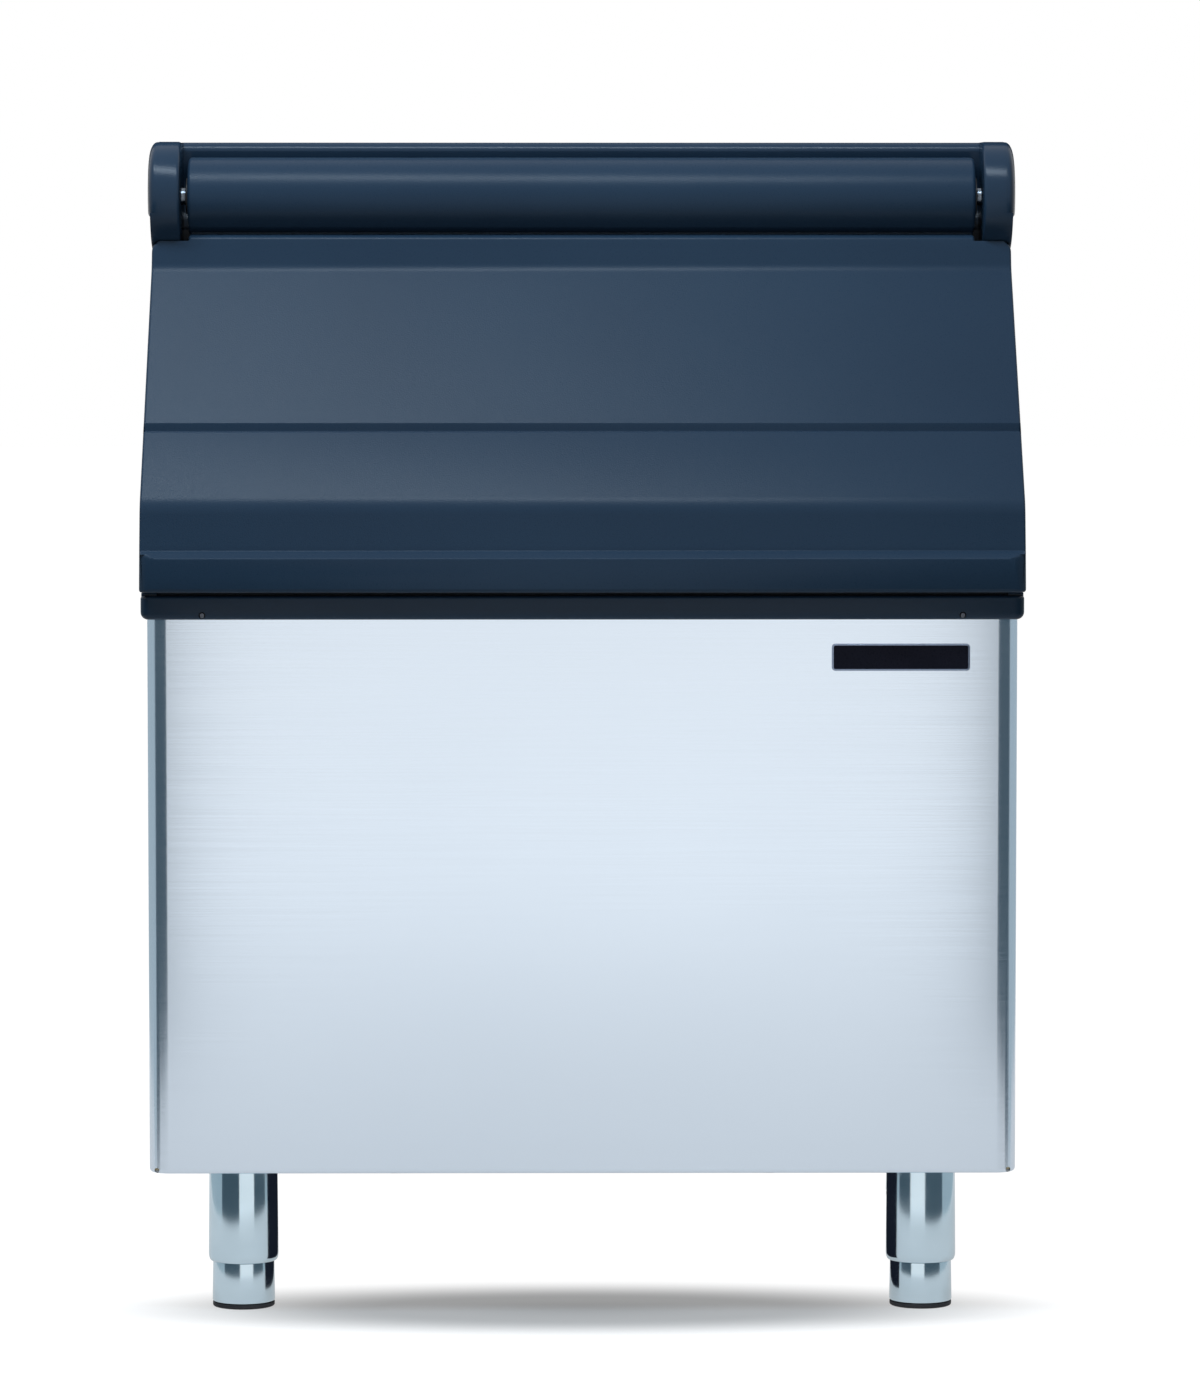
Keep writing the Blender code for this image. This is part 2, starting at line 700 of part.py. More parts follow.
def access_outline():
    """The opening that the door covers, seen from the front."""
    low, high = SILL_TOP + UPSTAND, HINGE.y - HEADER_LOW
    return rounded([
        (-TANK_HALF, low, ACCESS_CORNER),
        (TANK_HALF, low, ACCESS_CORNER),
        (TANK_HALF, high, ACCESS_CORNER),
        (-TANK_HALF, high, ACCESS_CORNER),
    ])


def throat_outline():
    """The opening in the top under the ice machine, in plan."""
    front = HINGE.x + THROAT_SETBACK
    return rounded([
        (-TANK_HALF, front, THROAT_CORNER),
        (TANK_HALF, front, THROAT_CORNER),
        (TANK_HALF, TANK_BACK, THROAT_CORNER),
        (-TANK_HALF, TANK_BACK, THROAT_CORNER),
    ])


def hood_frame():
    """One moulding: rim, hinge ears, rails beside the opening and sill, slotted for the casing."""
    outline = frame_outline()
    frame = prism("hood_frame", outline, -FRAME_HALF, FRAME_HALF, finish_name="slate_plastic")
    join(frame, sill_bar(), "UNION")
    for side in (-1, 1):
        inner, outer = side * (HALF + RIM_SIDE - RIM_WIDTH), side * (HALF + RIM_SIDE)
        band = prism("rim_band", rim_outline(), min(inner, outer), max(inner, outer))
        join(frame, bevel(band, RIM_ROUND, CORNER_STEPS), "UNION")
    join(frame, prism("barrel_bay", barrel_bay(), -EAR_INSIDE, EAR_INSIDE))
    access_depth = -underside_points(0)[1].x, -FRONT + OVERRUN
    join(frame, prism("access_space", access_outline(), *access_depth, "XZ"))
    throat_height = RIM_BOTTOM - OVERRUN, OVERALL_HEIGHT + OVERRUN
    join(frame, prism("throat_space", throat_outline(), *throat_height, "XY"))
    join(frame, wrap("casing_slot", GAP, SHEET + GAP * 2, 0, SILL_BOTTOM - OVERRUN))
    for side in (-1, 1):
        bore_ends = (side * (EAR_INSIDE - OVERRUN), *HINGE), (side * (FRAME_HALF + OVERRUN), *HINGE)
        join(frame, rod("pin_way", PIN_RADIUS + GAP, *bore_ends))
        head = HALF + RIM_SIDE - PIN_HEAD - GAP
        head_ends = (side * head, *HINGE), (side * (head + OVERRUN), *HINGE)
        join(frame, rod("pin_head_way", PIN_HEAD_RADIUS + GAP, *head_ends))
        x, z = side * (HALF - SCREW_INSET), SILL_BOTTOM + SCREW_RISE
        seat = CASING_FRONT - SILL_PROUD + SCREW_SINK
        shank_ends = (x, seat, z), (x, CASING_FRONT + SCREW_LENGTH, z)
        join(frame, rod("sill_screw_way", SCREW_SHANK + GAP, *shank_ends, SCREW_STEPS))
        head_ends = (x, seat - OVERRUN, z), (x, seat, z)
        join(frame, rod("sill_screw_head_way", SCREW_HEAD + GAP, *head_ends, SCREW_STEPS))
    return smooth(frame)


def sill_screw(side):
    """A pan head screw that holds the sill to the casing's front."""
    name = "left_sill_screw" if side < 0 else "right_sill_screw"
    seat = CASING_FRONT - SILL_PROUD + SCREW_SINK - GAP
    x, z = side * (HALF - SCREW_INSET), SILL_BOTTOM + SCREW_RISE
    head_ends = (x, seat - SCREW_HEAD_THICK, z), (x, seat, z)
    shank_ends = (x, seat - SCREW_HEAD_THICK / 2, z), (x, seat + SCREW_LENGTH, z)
    head = rod(name, SCREW_HEAD, *head_ends, SCREW_STEPS, "polished_stainless")
    return join(head, rod("screw_shank", SCREW_SHANK, *shank_ends, SCREW_STEPS), "UNION")


def badge_plate():
    """A bare plate with a raised rim, stuck to the casing's front."""
    low = SILL_TOP - BADGE_DROP - BADGE_HEIGHT / 2
    middle = HALF - BADGE_INSET
    face = -CASING_FRONT + GAP

    def outline(inset):
        left, right = middle - BADGE_WIDTH / 2 + inset, middle + BADGE_WIDTH / 2 - inset
        bottom, top = low + inset, low + BADGE_HEIGHT - inset
        r = BADGE_CORNER - inset / 2
        corners = [(left, bottom, r), (right, bottom, r), (right, top, r), (left, top, r)]
        return rounded(corners, CORNER_STEPS)

    plate = prism("badge_plate", outline(0), face, face + BADGE_THICK, "XZ", "black_plastic")
    sunk = face + BADGE_THICK - BADGE_RECESS
    return join(plate, prism("badge_field", outline(BADGE_RIM), sunk, sunk + OVERRUN, "XZ"))


# Hinge
def hinge_pin(side):
    """A headed steel pin, pushed through the ear from outside into the barrel's bush."""
    name = "left_hinge_pin" if side < 0 else "right_hinge_pin"
    outer = HALF + RIM_SIDE
    inner = BARREL_HALF - BARREL_END_WALL + PIN_TAIL
    length = outer - inner
    head_back = length - PIN_HEAD
    profile = [
        (0, length),
        (PIN_HEAD_RADIUS, length),
        (PIN_HEAD_RADIUS, head_back),
        (PIN_RADIUS, head_back),
        (PIN_RADIUS, 0),
        (0, 0),
    ]
    along = "-X" if side < 0 else "X"
    return turned(name, profile, (side * inner, *HINGE), TURNED_STEPS, "polished_stainless", along)


def hinge_bush(side):
    """A flanged bush in the end of the door's barrel."""
    name = "left_hinge_bush" if side < 0 else "right_hinge_bush"
    bore = PIN_RADIUS + PIN_FIT
    outer = bore + BUSH_WALL
    inner_end = BARREL_HALF - BARREL_END_WALL
    length = BARREL_END_WALL + GAP
    flange = length + BUSH_FLANGE_THICK
    profile = [
        (bore, flange),
        (BUSH_FLANGE, flange),
        (BUSH_FLANGE, length),
        (outer, length),
        (outer, 0),
        (bore, 0),
    ]
    along = "-X" if side < 0 else "X"
    place = (side * inner_end, *HINGE)
    return turned(name, profile, place, TURNED_STEPS, "black_plastic", along, closed=True)


# Door
def door_face():
    """The outer face from the bottom edge up to the top edge, with its lip and groove."""
    ledge_z = DOOR_BOTTOM + LIP_HEIGHT
    groove_low = BEND + SLOPE * (GROOVE_RISE / SLOPE.y)
    groove_high = groove_low + SLOPE * (GROOVE_WIDTH / SLOPE.y)
    sunk = INWARD * GROOVE_DEPTH
    lean = SLOPE * GROOVE_LEAN
    deep_low, deep_high = groove_low + sunk + lean, groove_high + sunk - lean
    return [
        (FRONT + LIP_LEAN, DOOR_BOTTOM, LIP_FOOT_ROUND),
        (FRONT, ledge_z, LIP_EDGE_ROUND),
        (BEND.x - LEDGE_LEAN, ledge_z + LEDGE_RISE, LEDGE_ROUND),
        (*BEND, BEND_ROUND),
        (*groove_low, 0),
        (*deep_low, 0),
        (*deep_high, 0),
        (*groove_high, 0),
        (*SHOULDER, SHOULDER_ROUND),
        (*DOOR_TOP, TOP_ROUND),
    ]


def door_front():
    """The door from the front: drafted sides, round top corners, and the neck between them."""
    neck, above = BARREL_HALF + GAP, HINGE.y + OVERRUN
    right = [
        (DOOR_HALF, DOOR_BOTTOM - GAP, 0),
        (DOOR_HALF - DOOR_DRAFT, DOOR_TOP.y, DOOR_CORNER),
        (neck, DOOR_TOP.y, 0),
        (neck, above, 0),
    ]
    left = [(-x, z, radius) for x, z, radius in reversed(right)]
    return rounded(right + left)


def door_plan():
    """The door from above, with the ends of its lip rounded back."""
    half, back = DOOR_HALF + GAP, HINGE.x + BARREL_RADIUS + OVERRUN
    front = [(-half, FRONT, LIP_END_ROUND), (half, FRONT, LIP_END_ROUND)]
    return rounded(front + [(half, back, 0), (-half, back, 0)])


def door_outline():
    """The side view of the outer shell before it is hollowed, from the lip up to its neck."""
    foot, bend, _ = face_line(DOOR_THICKNESS, DOOR_BOTTOM, HINGE.y)
    head = face_point(DOOR_THICKNESS, HINGE.x + NECK_BACK)
    neck, rise = HINGE.x - NECK_FORWARD, DOOR_TOP.y + NECK_RISE
    inside = HINGE.y - BARREL_RADIUS / 2
    back = [(neck, rise, 0), (neck, inside, 0), (head.x, inside, 0), (*head, 0), (*bend, 0), (*foot, 0)]
    return rounded(door_face() + back)


def door_cavity():
    """The hollow behind the outer face, from the bottom wall to the notches for the ears."""
    bottom = DOOR_BOTTOM + DOOR_WALL
    lip_top = bottom + LIP_HEIGHT - DOOR_WALL
    lip_front = FRONT + LIP_LEAN + DOOR_WALL
    upright = BEND.x + DOOR_WALL
    bend = face_line(DOOR_WALL, bottom, HINGE.y)[1]
    low = bend + SLOPE * ((GROOVE_RISE - DOOR_WALL) / SLOPE.y)
    high = low + SLOPE * ((GROOVE_WIDTH + DOOR_WALL * 2) / SLOPE.y)
    sunk = INWARD * GROOVE_DEPTH
    end = EAR_RADIUS + EAR_GAP + DOOR_WALL
    behind = DOOR_THICKNESS + OVERRUN
    back_foot, back_bend, _ = face_line(behind, bottom, HINGE.y)
    return [
        (lip_front, bottom),
        (lip_front, lip_top),
        (upright, lip_top + DOOR_WALL),
        bend,
        low,
        low + sunk,
        high + sunk,
        high,
        slope_point(DOOR_WALL, end),
        slope_point(behind, end),
        back_bend,
        back_foot,
    ]


def neck_space():
    """The way from the door's hollow up into the barrel."""
    end = EAR_RADIUS + EAR_GAP + DOOR_WALL * 2
    front, back = HINGE.x - NECK_HALF, HINGE.x + NECK_HALF
    return [
        slope_point(DOOR_WALL * 3, end),
        (front - NECK_HALF, DOOR_TOP.y - DOOR_WALL),
        (front, HINGE.y - BARREL_RADIUS),
        (front, HINGE.y),
        (back, HINGE.y),
        (back, HINGE.y - BARREL_RADIUS),
        slope_point(DOOR_THICKNESS - DOOR_WALL, end),
    ]


def door_outer_shell():
    """The face moulding: three views of it intersected, notched, joined to its barrel, hollowed."""
    width = DOOR_HALF + OVERRUN
    shell = prism("door_outer_shell", door_outline(), -width, width, finish_name="slate_plastic")
    depth = -HINGE.x - BARREL_RADIUS - OVERRUN, -FRONT + OVERRUN
    join(shell, prism("door_front", door_front(), *depth, "XZ"), "INTERSECT")
    height = DOOR_BOTTOM - OVERRUN, HINGE.y + OVERRUN
    join(shell, prism("door_plan", door_plan(), *height, "XY"), "INTERSECT")
    for side in (-1, 1):
        ends = (side * (BARREL_HALF - GAP), *HINGE), (side * width, *HINGE)
        join(shell, rod("ear_notch", EAR_RADIUS + EAR_GAP, *ends, NOTCH_STEPS))
    ends = (-BARREL_HALF, *HINGE), (BARREL_HALF, *HINGE)
    barrel = rod("barrel", BARREL_RADIUS, *ends, BARREL_STEPS)
    join(shell, bevel(barrel, BARREL_ROUND, EDGE_STEPS), "UNION")
    join(shell, prism("door_hollow", door_cavity(), -DOOR_INSIDE, DOOR_INSIDE))
    neck_half = BARREL_HALF - BARREL_END_WALL
    ends = (-neck_half, *HINGE), (neck_half, *HINGE)
    join(shell, rod("barrel_hollow", BARREL_RADIUS - DOOR_WALL, *ends, TURNED_STEPS))
    join(shell, prism("neck_hollow", neck_space(), -neck_half + DOOR_WALL, neck_half - DOOR_WALL))
    for side in (-1, 1):
        ends = (side * (neck_half - OVERRUN / 2), *HINGE), (side * (BARREL_HALF + OVERRUN), *HINGE)
        join(shell, rod("bush_way", PIN_RADIUS + PIN_FIT + BUSH_WALL + GAP, *ends, TURNED_STEPS))
    return smooth(shell)


def band(outer, inner, foot, head_out, head_in):
    """A strip under the door's face, between two depths."""
    outside = face_line(outer, foot, HINGE.y)[:2] + [slope_point(outer, head_out)]
    inside = face_line(inner, foot, HINGE.y)[:2] + [slope_point(inner, head_in)]
    return outside + inside[::-1]


def door_inner_shell():
    """The pan that closes the back of the door, with a raised plug inside the seal."""
    half = DOOR_INSIDE - GAP
    foot = DOOR_BOTTOM + DOOR_WALL + GAP
    end = EAR_RADIUS + EAR_GAP + DOOR_WALL + GAP
    strip = band(DOOR_THICKNESS - INNER_WALL, DOOR_THICKNESS, foot, end, end)
    pan = prism("door_inner_shell", strip, -half, half, finish_name="slate_plastic")
    plug_half = TANK_HALF - PLUG_MARGIN
    low = SILL_TOP + PLUG_LOW
    depths = DOOR_THICKNESS - INNER_WALL / 2, DOOR_THICKNESS + PLUG_PROUD
    plug = prism("door_plug", band(*depths, low, PLUG_HIGH, PLUG_HIGH), -plug_half, plug_half)
    return join(pan, bevel(plug, PLUG_PROUD / 3, EDGE_STEPS), "UNION")


def door_foam():
    """The insulation between the door's two shells."""
    half = DOOR_INSIDE - GAP
    foot = DOOR_BOTTOM + DOOR_WALL + GAP
    end = EAR_RADIUS + EAR_GAP + DOOR_WALL * 2.5
    outer = DOOR_WALL + GROOVE_DEPTH + GAP
    strip = band(outer, DOOR_THICKNESS - INNER_WALL - GAP, foot, end, end)
    return prism("door_foam", strip, -half, half, finish_name="insulation")


def door_gasket():
    """A seal round the back of the door, pressed on the frame all round the opening."""
    half = TANK_HALF + SEAL_INSET + SEAL_WIDTH
    foot = SILL_TOP + SEAL_LOW
    head = SEAL_HIGH + SEAL_INSET
    depths = DOOR_THICKNESS + GAP, DOOR_THICKNESS + SEAL_DEPTH - GAP
    strip = band(*depths, foot, head, head)
    ring = prism("door_gasket", strip, -half, half, finish_name="seal_rubber")
    hole_depths = DOOR_THICKNESS - SEAL_DEPTH, DOOR_THICKNESS + SEAL_DEPTH * 2
    hole = band(*hole_depths, foot + SEAL_WIDTH, head + SEAL_WIDTH, head + SEAL_WIDTH)
    inside = half - SEAL_WIDTH
    return join(ring, prism("gasket_hole", hole, -inside, inside))


# Baffle
def baffle_axis():
    """The line that the baffle hangs on, in the side view."""
    return Vector((HINGE.x + BAFFLE_BACK, HINGE.y - BAFFLE_DROP))


def ice_baffle():
    """A plate hung on two pins inside the opening, which keeps the ice off the door."""
    axis = baffle_axis()
    half = TANK_HALF - BRACKET_THICK - BAFFLE_SIDE_GAP
    low, high = axis.y - BAFFLE_HEIGHT, axis.y + BAFFLE_PIN_RADIUS * 2
    r = BAFFLE_CORNER
    corners = [(-half, low, r), (half, low, r), (half, high, r / 4), (-half, high, r / 4)]
    front, back = -axis.x - BAFFLE_SHEET / 2, -axis.x + BAFFLE_SHEET / 2
    plate = prism("ice_baffle", rounded(corners), front, back, "XZ", "clear_plastic")
    reach = TANK_HALF - BAFFLE_SIDE_GAP
    join(plate, rod("baffle_pin", BAFFLE_PIN_RADIUS, (-reach, *axis), (reach, *axis)), "UNION")
    foot, inset = axis.y - BAFFLE_HEIGHT + BAFFLE_CORNER, half - BAFFLE_CORNER
    rib_low, rib_high = (-inset, axis.x - BAFFLE_RIB, foot), (inset, axis.x + BAFFLE_RIB, foot + BAFFLE_RIB)
    return join(plate, box("baffle_rib", rib_low, rib_high), "UNION")


def baffle_bracket(side):
    """A moulded eye on the tank's side wall that holds one baffle pin."""
    name = "left_baffle_bracket" if side < 0 else "right_baffle_bracket"
    axis = baffle_axis()
    inner, outer = side * (TANK_HALF - BRACKET_THICK), side * (TANK_HALF - GAP)
    r = BRACKET_ROUND
    corners = [
        (axis.x - BRACKET_HALF, axis.y - BRACKET_RISE, r),
        (axis.x + BRACKET_HALF, axis.y - BRACKET_RISE, r),
        (axis.x + BRACKET_HALF, axis.y + BRACKET_RISE, r),
        (axis.x - BRACKET_HALF, axis.y + BRACKET_RISE, r),
    ]
    limits = min(inner, outer), max(inner, outer)
    eye = prism(name, rounded(corners, EDGE_STEPS), *limits, finish_name="white_plastic")
    start, end = side * (TANK_HALF - BRACKET_THICK - OVERRUN), side * (TANK_HALF - BAFFLE_SIDE_GAP / 2)
    return join(eye, rod("baffle_pin_way", BAFFLE_PIN_RADIUS + PIN_FIT, (start, *axis), (end, *axis)))


# Legs
def leg_places():
    """The four leg centres in plan: front left, front right, rear left, rear right."""
    front, rear = CASING_FRONT + FRONT_LEG_INSET, BACK - REAR_LEG_INSET
    front_x, rear_x = HALF - FRONT_LEG_SIDE, HALF - REAR_LEG_SIDE
    return [(-front_x, front), (front_x, front), (-rear_x, rear), (rear_x, rear)]


LEG_NAMES = ["front_left", "front_right", "rear_left", "rear_right"]


def leg_tube(name, x, y):
    """A closed steel tube with a stud on top, its lower rim rolled in."""
    low, top = FOOT_HEIGHT + GAP, PAN_BOTTOM - GAP
    upper = LEG_RADIUS - LEG_TAPER
    rim, turn = low + LEG_RIM_RISE, LEG_RADIUS - LEG_RIM_TURN
    profile = [
        (0, top + STUD_LENGTH),
        (STUD_RADIUS, top + STUD_LENGTH),
        (STUD_RADIUS, top),
        (upper, top),
        (LEG_RADIUS, rim),
        ((LEG_RADIUS * 3 + turn) / 4, (rim + low) / 2),
        (turn, low),
        (turn - LEG_WALL, low),
        (turn - LEG_WALL, rim),
        (upper - LEG_WALL, rim + LEG_WALL),
        (upper - LEG_WALL, top - LEG_TOP),
        (0, top - LEG_TOP),
    ]
    return smooth(turned(name + "_leg_tube", profile, (x, y, 0), TURNED_STEPS, "polished_stainless"))


def leg_insert(name, x, y):
    """A threaded plug pressed into the foot of the leg tube."""
    low = FOOT_HEIGHT + GAP + LEG_RIM_RISE + LEG_WALL + GAP
    bore, outer = STUD_RADIUS + STUD_FIT, LEG_RADIUS - LEG_TAPER - LEG_WALL - GAP
    high = low + INSERT_HEIGHT
    profile = [(bore, high), (outer, high), (outer, low), (bore, low)]
    place = (x, y, 0)
    return turned(name + "_leg_insert", profile, place, TURNED_STEPS, "black_plastic", closed=True)


def nut_plate(name, x, y):
    """A threaded plate on the base pan that takes the leg's stud, buried in the foam."""
    low = PAN_TOP + GAP
    high = low + NUT_PLATE_THICK
    top = high + NUT_HEIGHT
    reach = NUT_PLATE / 2
    near, far = (x - reach, y - reach, low), (x + reach, y + reach, high)
    plate = box(name + "_nut_plate", near, far, "galvanised_steel")
    nut_ends = (x, y, low + NUT_PLATE_THICK / 2), (x, y, top)
    join(plate, rod("nut", NUT_RADIUS, *nut_ends, HEX_STEPS), "UNION")
    bore_ends = (x, y, low - OVERRUN), (x, y, top + OVERRUN)
    return join(plate, rod("nut_bore", STUD_RADIUS + STUD_FIT, *bore_ends))


def foot(name, x, y):
    """The screw foot: a steel cup under the leg, on a stud that turns in the insert."""
    low = PAD_THICK + GAP
    top = FOOT_HEIGHT
    profile = [
        (0, top + FOOT_STUD),
        (STUD_RADIUS, top + FOOT_STUD),
        (STUD_RADIUS, top),
        (FOOT_RADIUS - FOOT_TAPER, top),
        (FOOT_RADIUS, low + FOOT_EDGE),
        (FOOT_RADIUS - FOOT_EDGE, low),
        (0, low),
    ]
    return smooth(turned(name + "_foot", profile, (x, y, 0), TURNED_STEPS, "polished_stainless"))


def foot_pad(name, x, y):
    """The rubber disc under a foot."""
    edge = PAD_THICK / 4
    profile = [
        (0, PAD_THICK),
        (PAD_RADIUS, PAD_THICK),
        (PAD_RADIUS, edge),
        (PAD_RADIUS - edge, 0),
        (0, 0),
    ]
    return turned(name + "_foot_pad", profile, (x, y, 0), TURNED_STEPS, "seal_rubber")


def legs():
    for name, (x, y) in zip(LEG_NAMES, leg_places()):
        leg_tube(name, x, y)
        leg_insert(name, x, y)
        nut_plate(name, x, y)
        carry(name + "_foot_travel", (x, y, 0), [foot(name, x, y), foot_pad(name, x, y)])


# Drain
def drain():
    """A bulkhead fitting through the tank floor, its nut under the pan, a strainer and an elbow."""
    seat = TANK_FLOOR + GAP
    end = PAN_BOTTOM - DRAIN_DROP
    flange_top = seat + DRAIN_FLANGE_THICK
    profile = [
        (DRAIN_BORE, flange_top),
        (DRAIN_FLANGE, flange_top),
        (DRAIN_FLANGE, seat),
        (DRAIN_TUBE, seat),
        (DRAIN_TUBE, end),
        (DRAIN_BORE, end),
    ]
    turned("drain_fitting", profile, (0, DRAIN_Y, 0), TURNED_STEPS, "white_plastic", closed=True)
    nut_top = PAN_BOTTOM - GAP
    nut_ends = (0, DRAIN_Y, nut_top - DRAIN_NUT_HEIGHT), (0, DRAIN_Y, nut_top)
    nut = rod("drain_nut", DRAIN_NUT_RADIUS, *nut_ends, HEX_STEPS, "white_plastic")
    way_ends = (0, DRAIN_Y, end - OVERRUN), (0, DRAIN_Y, nut_top + OVERRUN)
    join(nut, rod("nut_way", DRAIN_TUBE + GAP, *way_ends, TURNED_STEPS))
    low = flange_top + GAP
    grate_ends = (0, DRAIN_Y, low), (0, DRAIN_Y, low + STRAINER_THICK)
    grate = rod("drain_strainer", STRAINER_RADIUS, *grate_ends, TURNED_STEPS, "polished_stainless")
    for i in range(STRAINER_HOLES):
        turn = 2 * math.pi * i / STRAINER_HOLES
        x, y = STRAINER_RING * math.cos(turn), DRAIN_Y + STRAINER_RING * math.sin(turn)
        hole_ends = (x, y, low - OVERRUN), (x, y, low + OVERRUN)
        join(grate, rod("strainer_hole", STRAINER_HOLE, *hole_ends, HOLE_STEPS))
    drain_elbow(end - GAP)


def drain_elbow(top):
    """The bent pipe that leads the melt water to the back."""
    low = top - ELBOW_DROP
    corner = arc(Vector((ELBOW_BEND, low)), ELBOW_BEND, math.pi, math.pi * 1.5, ELBOW_STEPS)
    route = [(0, top)] + [tuple(p) for p in corner] + [(ELBOW_REACH, low - ELBOW_BEND)]
    pipe = pipe_along("drain_elbow", route, DRAIN_TUBE, "white_plastic", 0)
    join(pipe, pipe_along("elbow_bore", route, DRAIN_BORE, None, OVERRUN / 2))


def pipe_along(name, route, radius, finish_name, extra):
    """A round pipe along (back, up) points from the drain, run on past both ends by extra."""
    (start_y, start_z), (end_y, end_z) = route[0], route[-1]
    points = [(start_y, start_z + extra)] + list(route[1:-1]) + [(end_y + extra, end_z)]
    curve = bpy.data.curves.new(name, "CURVE")
    curve.dimensions = "3D"
    curve.bevel_depth = radius
    curve.bevel_resolution = ARC_STEPS
    curve.use_fill_caps = True
    spline = curve.splines.new("POLY")
    spline.points.add(len(points) - 1)
    for slot, (back, up) in zip(spline.points, points):
        slot.co = (0, DRAIN_Y + back, up, 1)
    pipe = bpy.data.objects.new(name, curve)
    bpy.context.scene.collection.objects.link(pipe)
    bpy.context.view_layer.update()
    return as_mesh(pipe, finish_name)


def cabinet():
    outer_casing()
    base_pan()
    back_panel()
    liner()
    insulation_foam()
    hood_frame()
    badge_plate()
    for side in (-1, 1):
        sill_screw(side)
        hinge_pin(side)
        baffle_bracket(side)


def door():
    pieces = [door_outer_shell(), door_inner_shell(), door_foam(), door_gasket()]
    pieces += [hinge_bush(side) for side in (-1, 1)]
    carry("door_hinge_axis", (0, *HINGE), pieces)


clear_scene()
make_finishes()
cabinet()
door()
carry("baffle_hinge_axis", (0, *baffle_axis()), [ice_baffle()])
legs()
drain()
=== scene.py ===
import math

import bmesh
import bpy
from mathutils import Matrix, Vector


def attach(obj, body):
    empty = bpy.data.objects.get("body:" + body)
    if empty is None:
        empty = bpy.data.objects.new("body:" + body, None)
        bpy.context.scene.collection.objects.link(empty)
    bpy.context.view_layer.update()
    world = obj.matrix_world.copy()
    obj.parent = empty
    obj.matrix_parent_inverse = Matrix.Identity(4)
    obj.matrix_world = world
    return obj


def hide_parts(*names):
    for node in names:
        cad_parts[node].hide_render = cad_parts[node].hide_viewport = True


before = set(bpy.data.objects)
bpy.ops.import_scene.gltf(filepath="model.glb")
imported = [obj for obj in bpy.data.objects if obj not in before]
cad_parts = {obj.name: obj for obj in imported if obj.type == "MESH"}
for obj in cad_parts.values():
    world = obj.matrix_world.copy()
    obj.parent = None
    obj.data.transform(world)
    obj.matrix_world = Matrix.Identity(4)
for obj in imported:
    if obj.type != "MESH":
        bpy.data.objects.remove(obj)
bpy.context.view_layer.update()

# Outer casing: one sheet of brushed stainless steel, folded round the front corners and in under
# the bottom edge, with a small relief hole where the two folds meet. Its top edge follows the
# sloping hood and is let into the moulded frame.
CASING_HALF = 0.381
CASING_FRONT = -0.385
BIN_BACK = 0.420
BIN_TOP = 1.0346
CASING_FOOT = 0.1283
CASING_HEAD = 0.9846
SHEET = 0.0010
CORNER_BEND = 0.018
FOOT_FOLD = 0.0035
FOOT_FLANGE = 0.012
RELIEF_X = 0.3738
RELIEF_Z = 0.1311
RELIEF_RADIUS = 0.0022
SLOT_DEPTH = 0.0473
SILL_TOP = 0.6364
SILL_COVER = 0.0033

# Cutting shapes run this far out and up, past the whole part
PAST = 0.5
OVER = 1.2

# Two places closer than this count as one
CLOSE = 0.0001

# The door's face in the side view, as (y, z): upright to the bend, then up the slope
FACE_BEND = Vector((-0.408, 0.7165))
FACE_SHOULDER = Vector((-0.262, 0.922))
UP_SLOPE = (FACE_SHOULDER - FACE_BEND).normalized()
INTO_BIN = Vector((UP_SLOPE.y, -UP_SLOPE.x))

# The values between which most of a noise texture lies
GRAIN_LOW = 0.3
GRAIN_HIGH = 0.7


def along_slope(point, y):
    """The point at a y on the line that runs along the slope through a point."""
    return Vector((y, point.y + (y - point.x) * UP_SLOPE.y / UP_SLOPE.x))


def behind_face(depth, z):
    """The point at a depth behind the door's sloping face, at a height."""
    on_slope = FACE_BEND + INTO_BIN * depth
    return Vector((on_slope.x + (z - on_slope.y) * UP_SLOPE.x / UP_SLOPE.y, z))


def bend_behind_face(depth):
    """The point at a depth behind the door's face where upright meets slope."""
    return along_slope(FACE_BEND + INTO_BIN * depth, FACE_BEND.x + depth)


def hold(piece):
    """Makes one piece the active one, and the only one selected."""
    bpy.ops.object.select_all(action="DESELECT")
    piece.select_set(True)
    bpy.context.view_layer.objects.active = piece


def take(piece):
    """Opens one piece for shaping, with nothing in it selected."""
    hold(piece)
    bpy.ops.object.mode_set(mode="EDIT")
    bpy.ops.mesh.select_all(action="DESELECT")


def put_down():
    bpy.ops.object.mode_set(mode="OBJECT")


def middle(part):
    return sum((v.co for v in part.verts), Vector()) / len(part.verts)


def at(value, place):
    return abs(value - place) < CLOSE


def runs_along(edge, axis):
    return abs((edge.verts[0].co - edge.verts[1].co).normalized()[axis]) > 0.999


def is_corner(edge, degrees):
    """Tells whether an edge is an outward corner sharper than an angle."""
    return edge.is_manifold and edge.is_convex and edge.calc_face_angle() > math.radians(degrees)


def pick(kind, wanted):
    """Selects the faces or edges of the piece in hand that a test picks by place or direction."""
    bpy.ops.mesh.select_mode(type=kind)
    bpy.ops.mesh.select_all(action="DESELECT")
    mesh = bmesh.from_edit_mesh(bpy.context.object.data)
    mesh.normal_update()
    for part in mesh.faces if kind == "FACE" else mesh.edges:
        if wanted(part):
            part.select_set(True)
    bmesh.update_edit_mesh(bpy.context.object.data)


def bevel(wanted, width, segments, **more):
    """Rounds the edges that a test picks on the piece in hand."""
    pick("EDGE", wanted)
    bpy.ops.mesh.bevel(offset=width, segments=segments, affect="EDGES", **more)


def round_off(piece, wanted, width, segments, **more):
    """Takes a piece, rounds the edges that a test picks and puts it down."""
    take(piece)
    bevel(wanted, width, segments, **more)
    put_down()


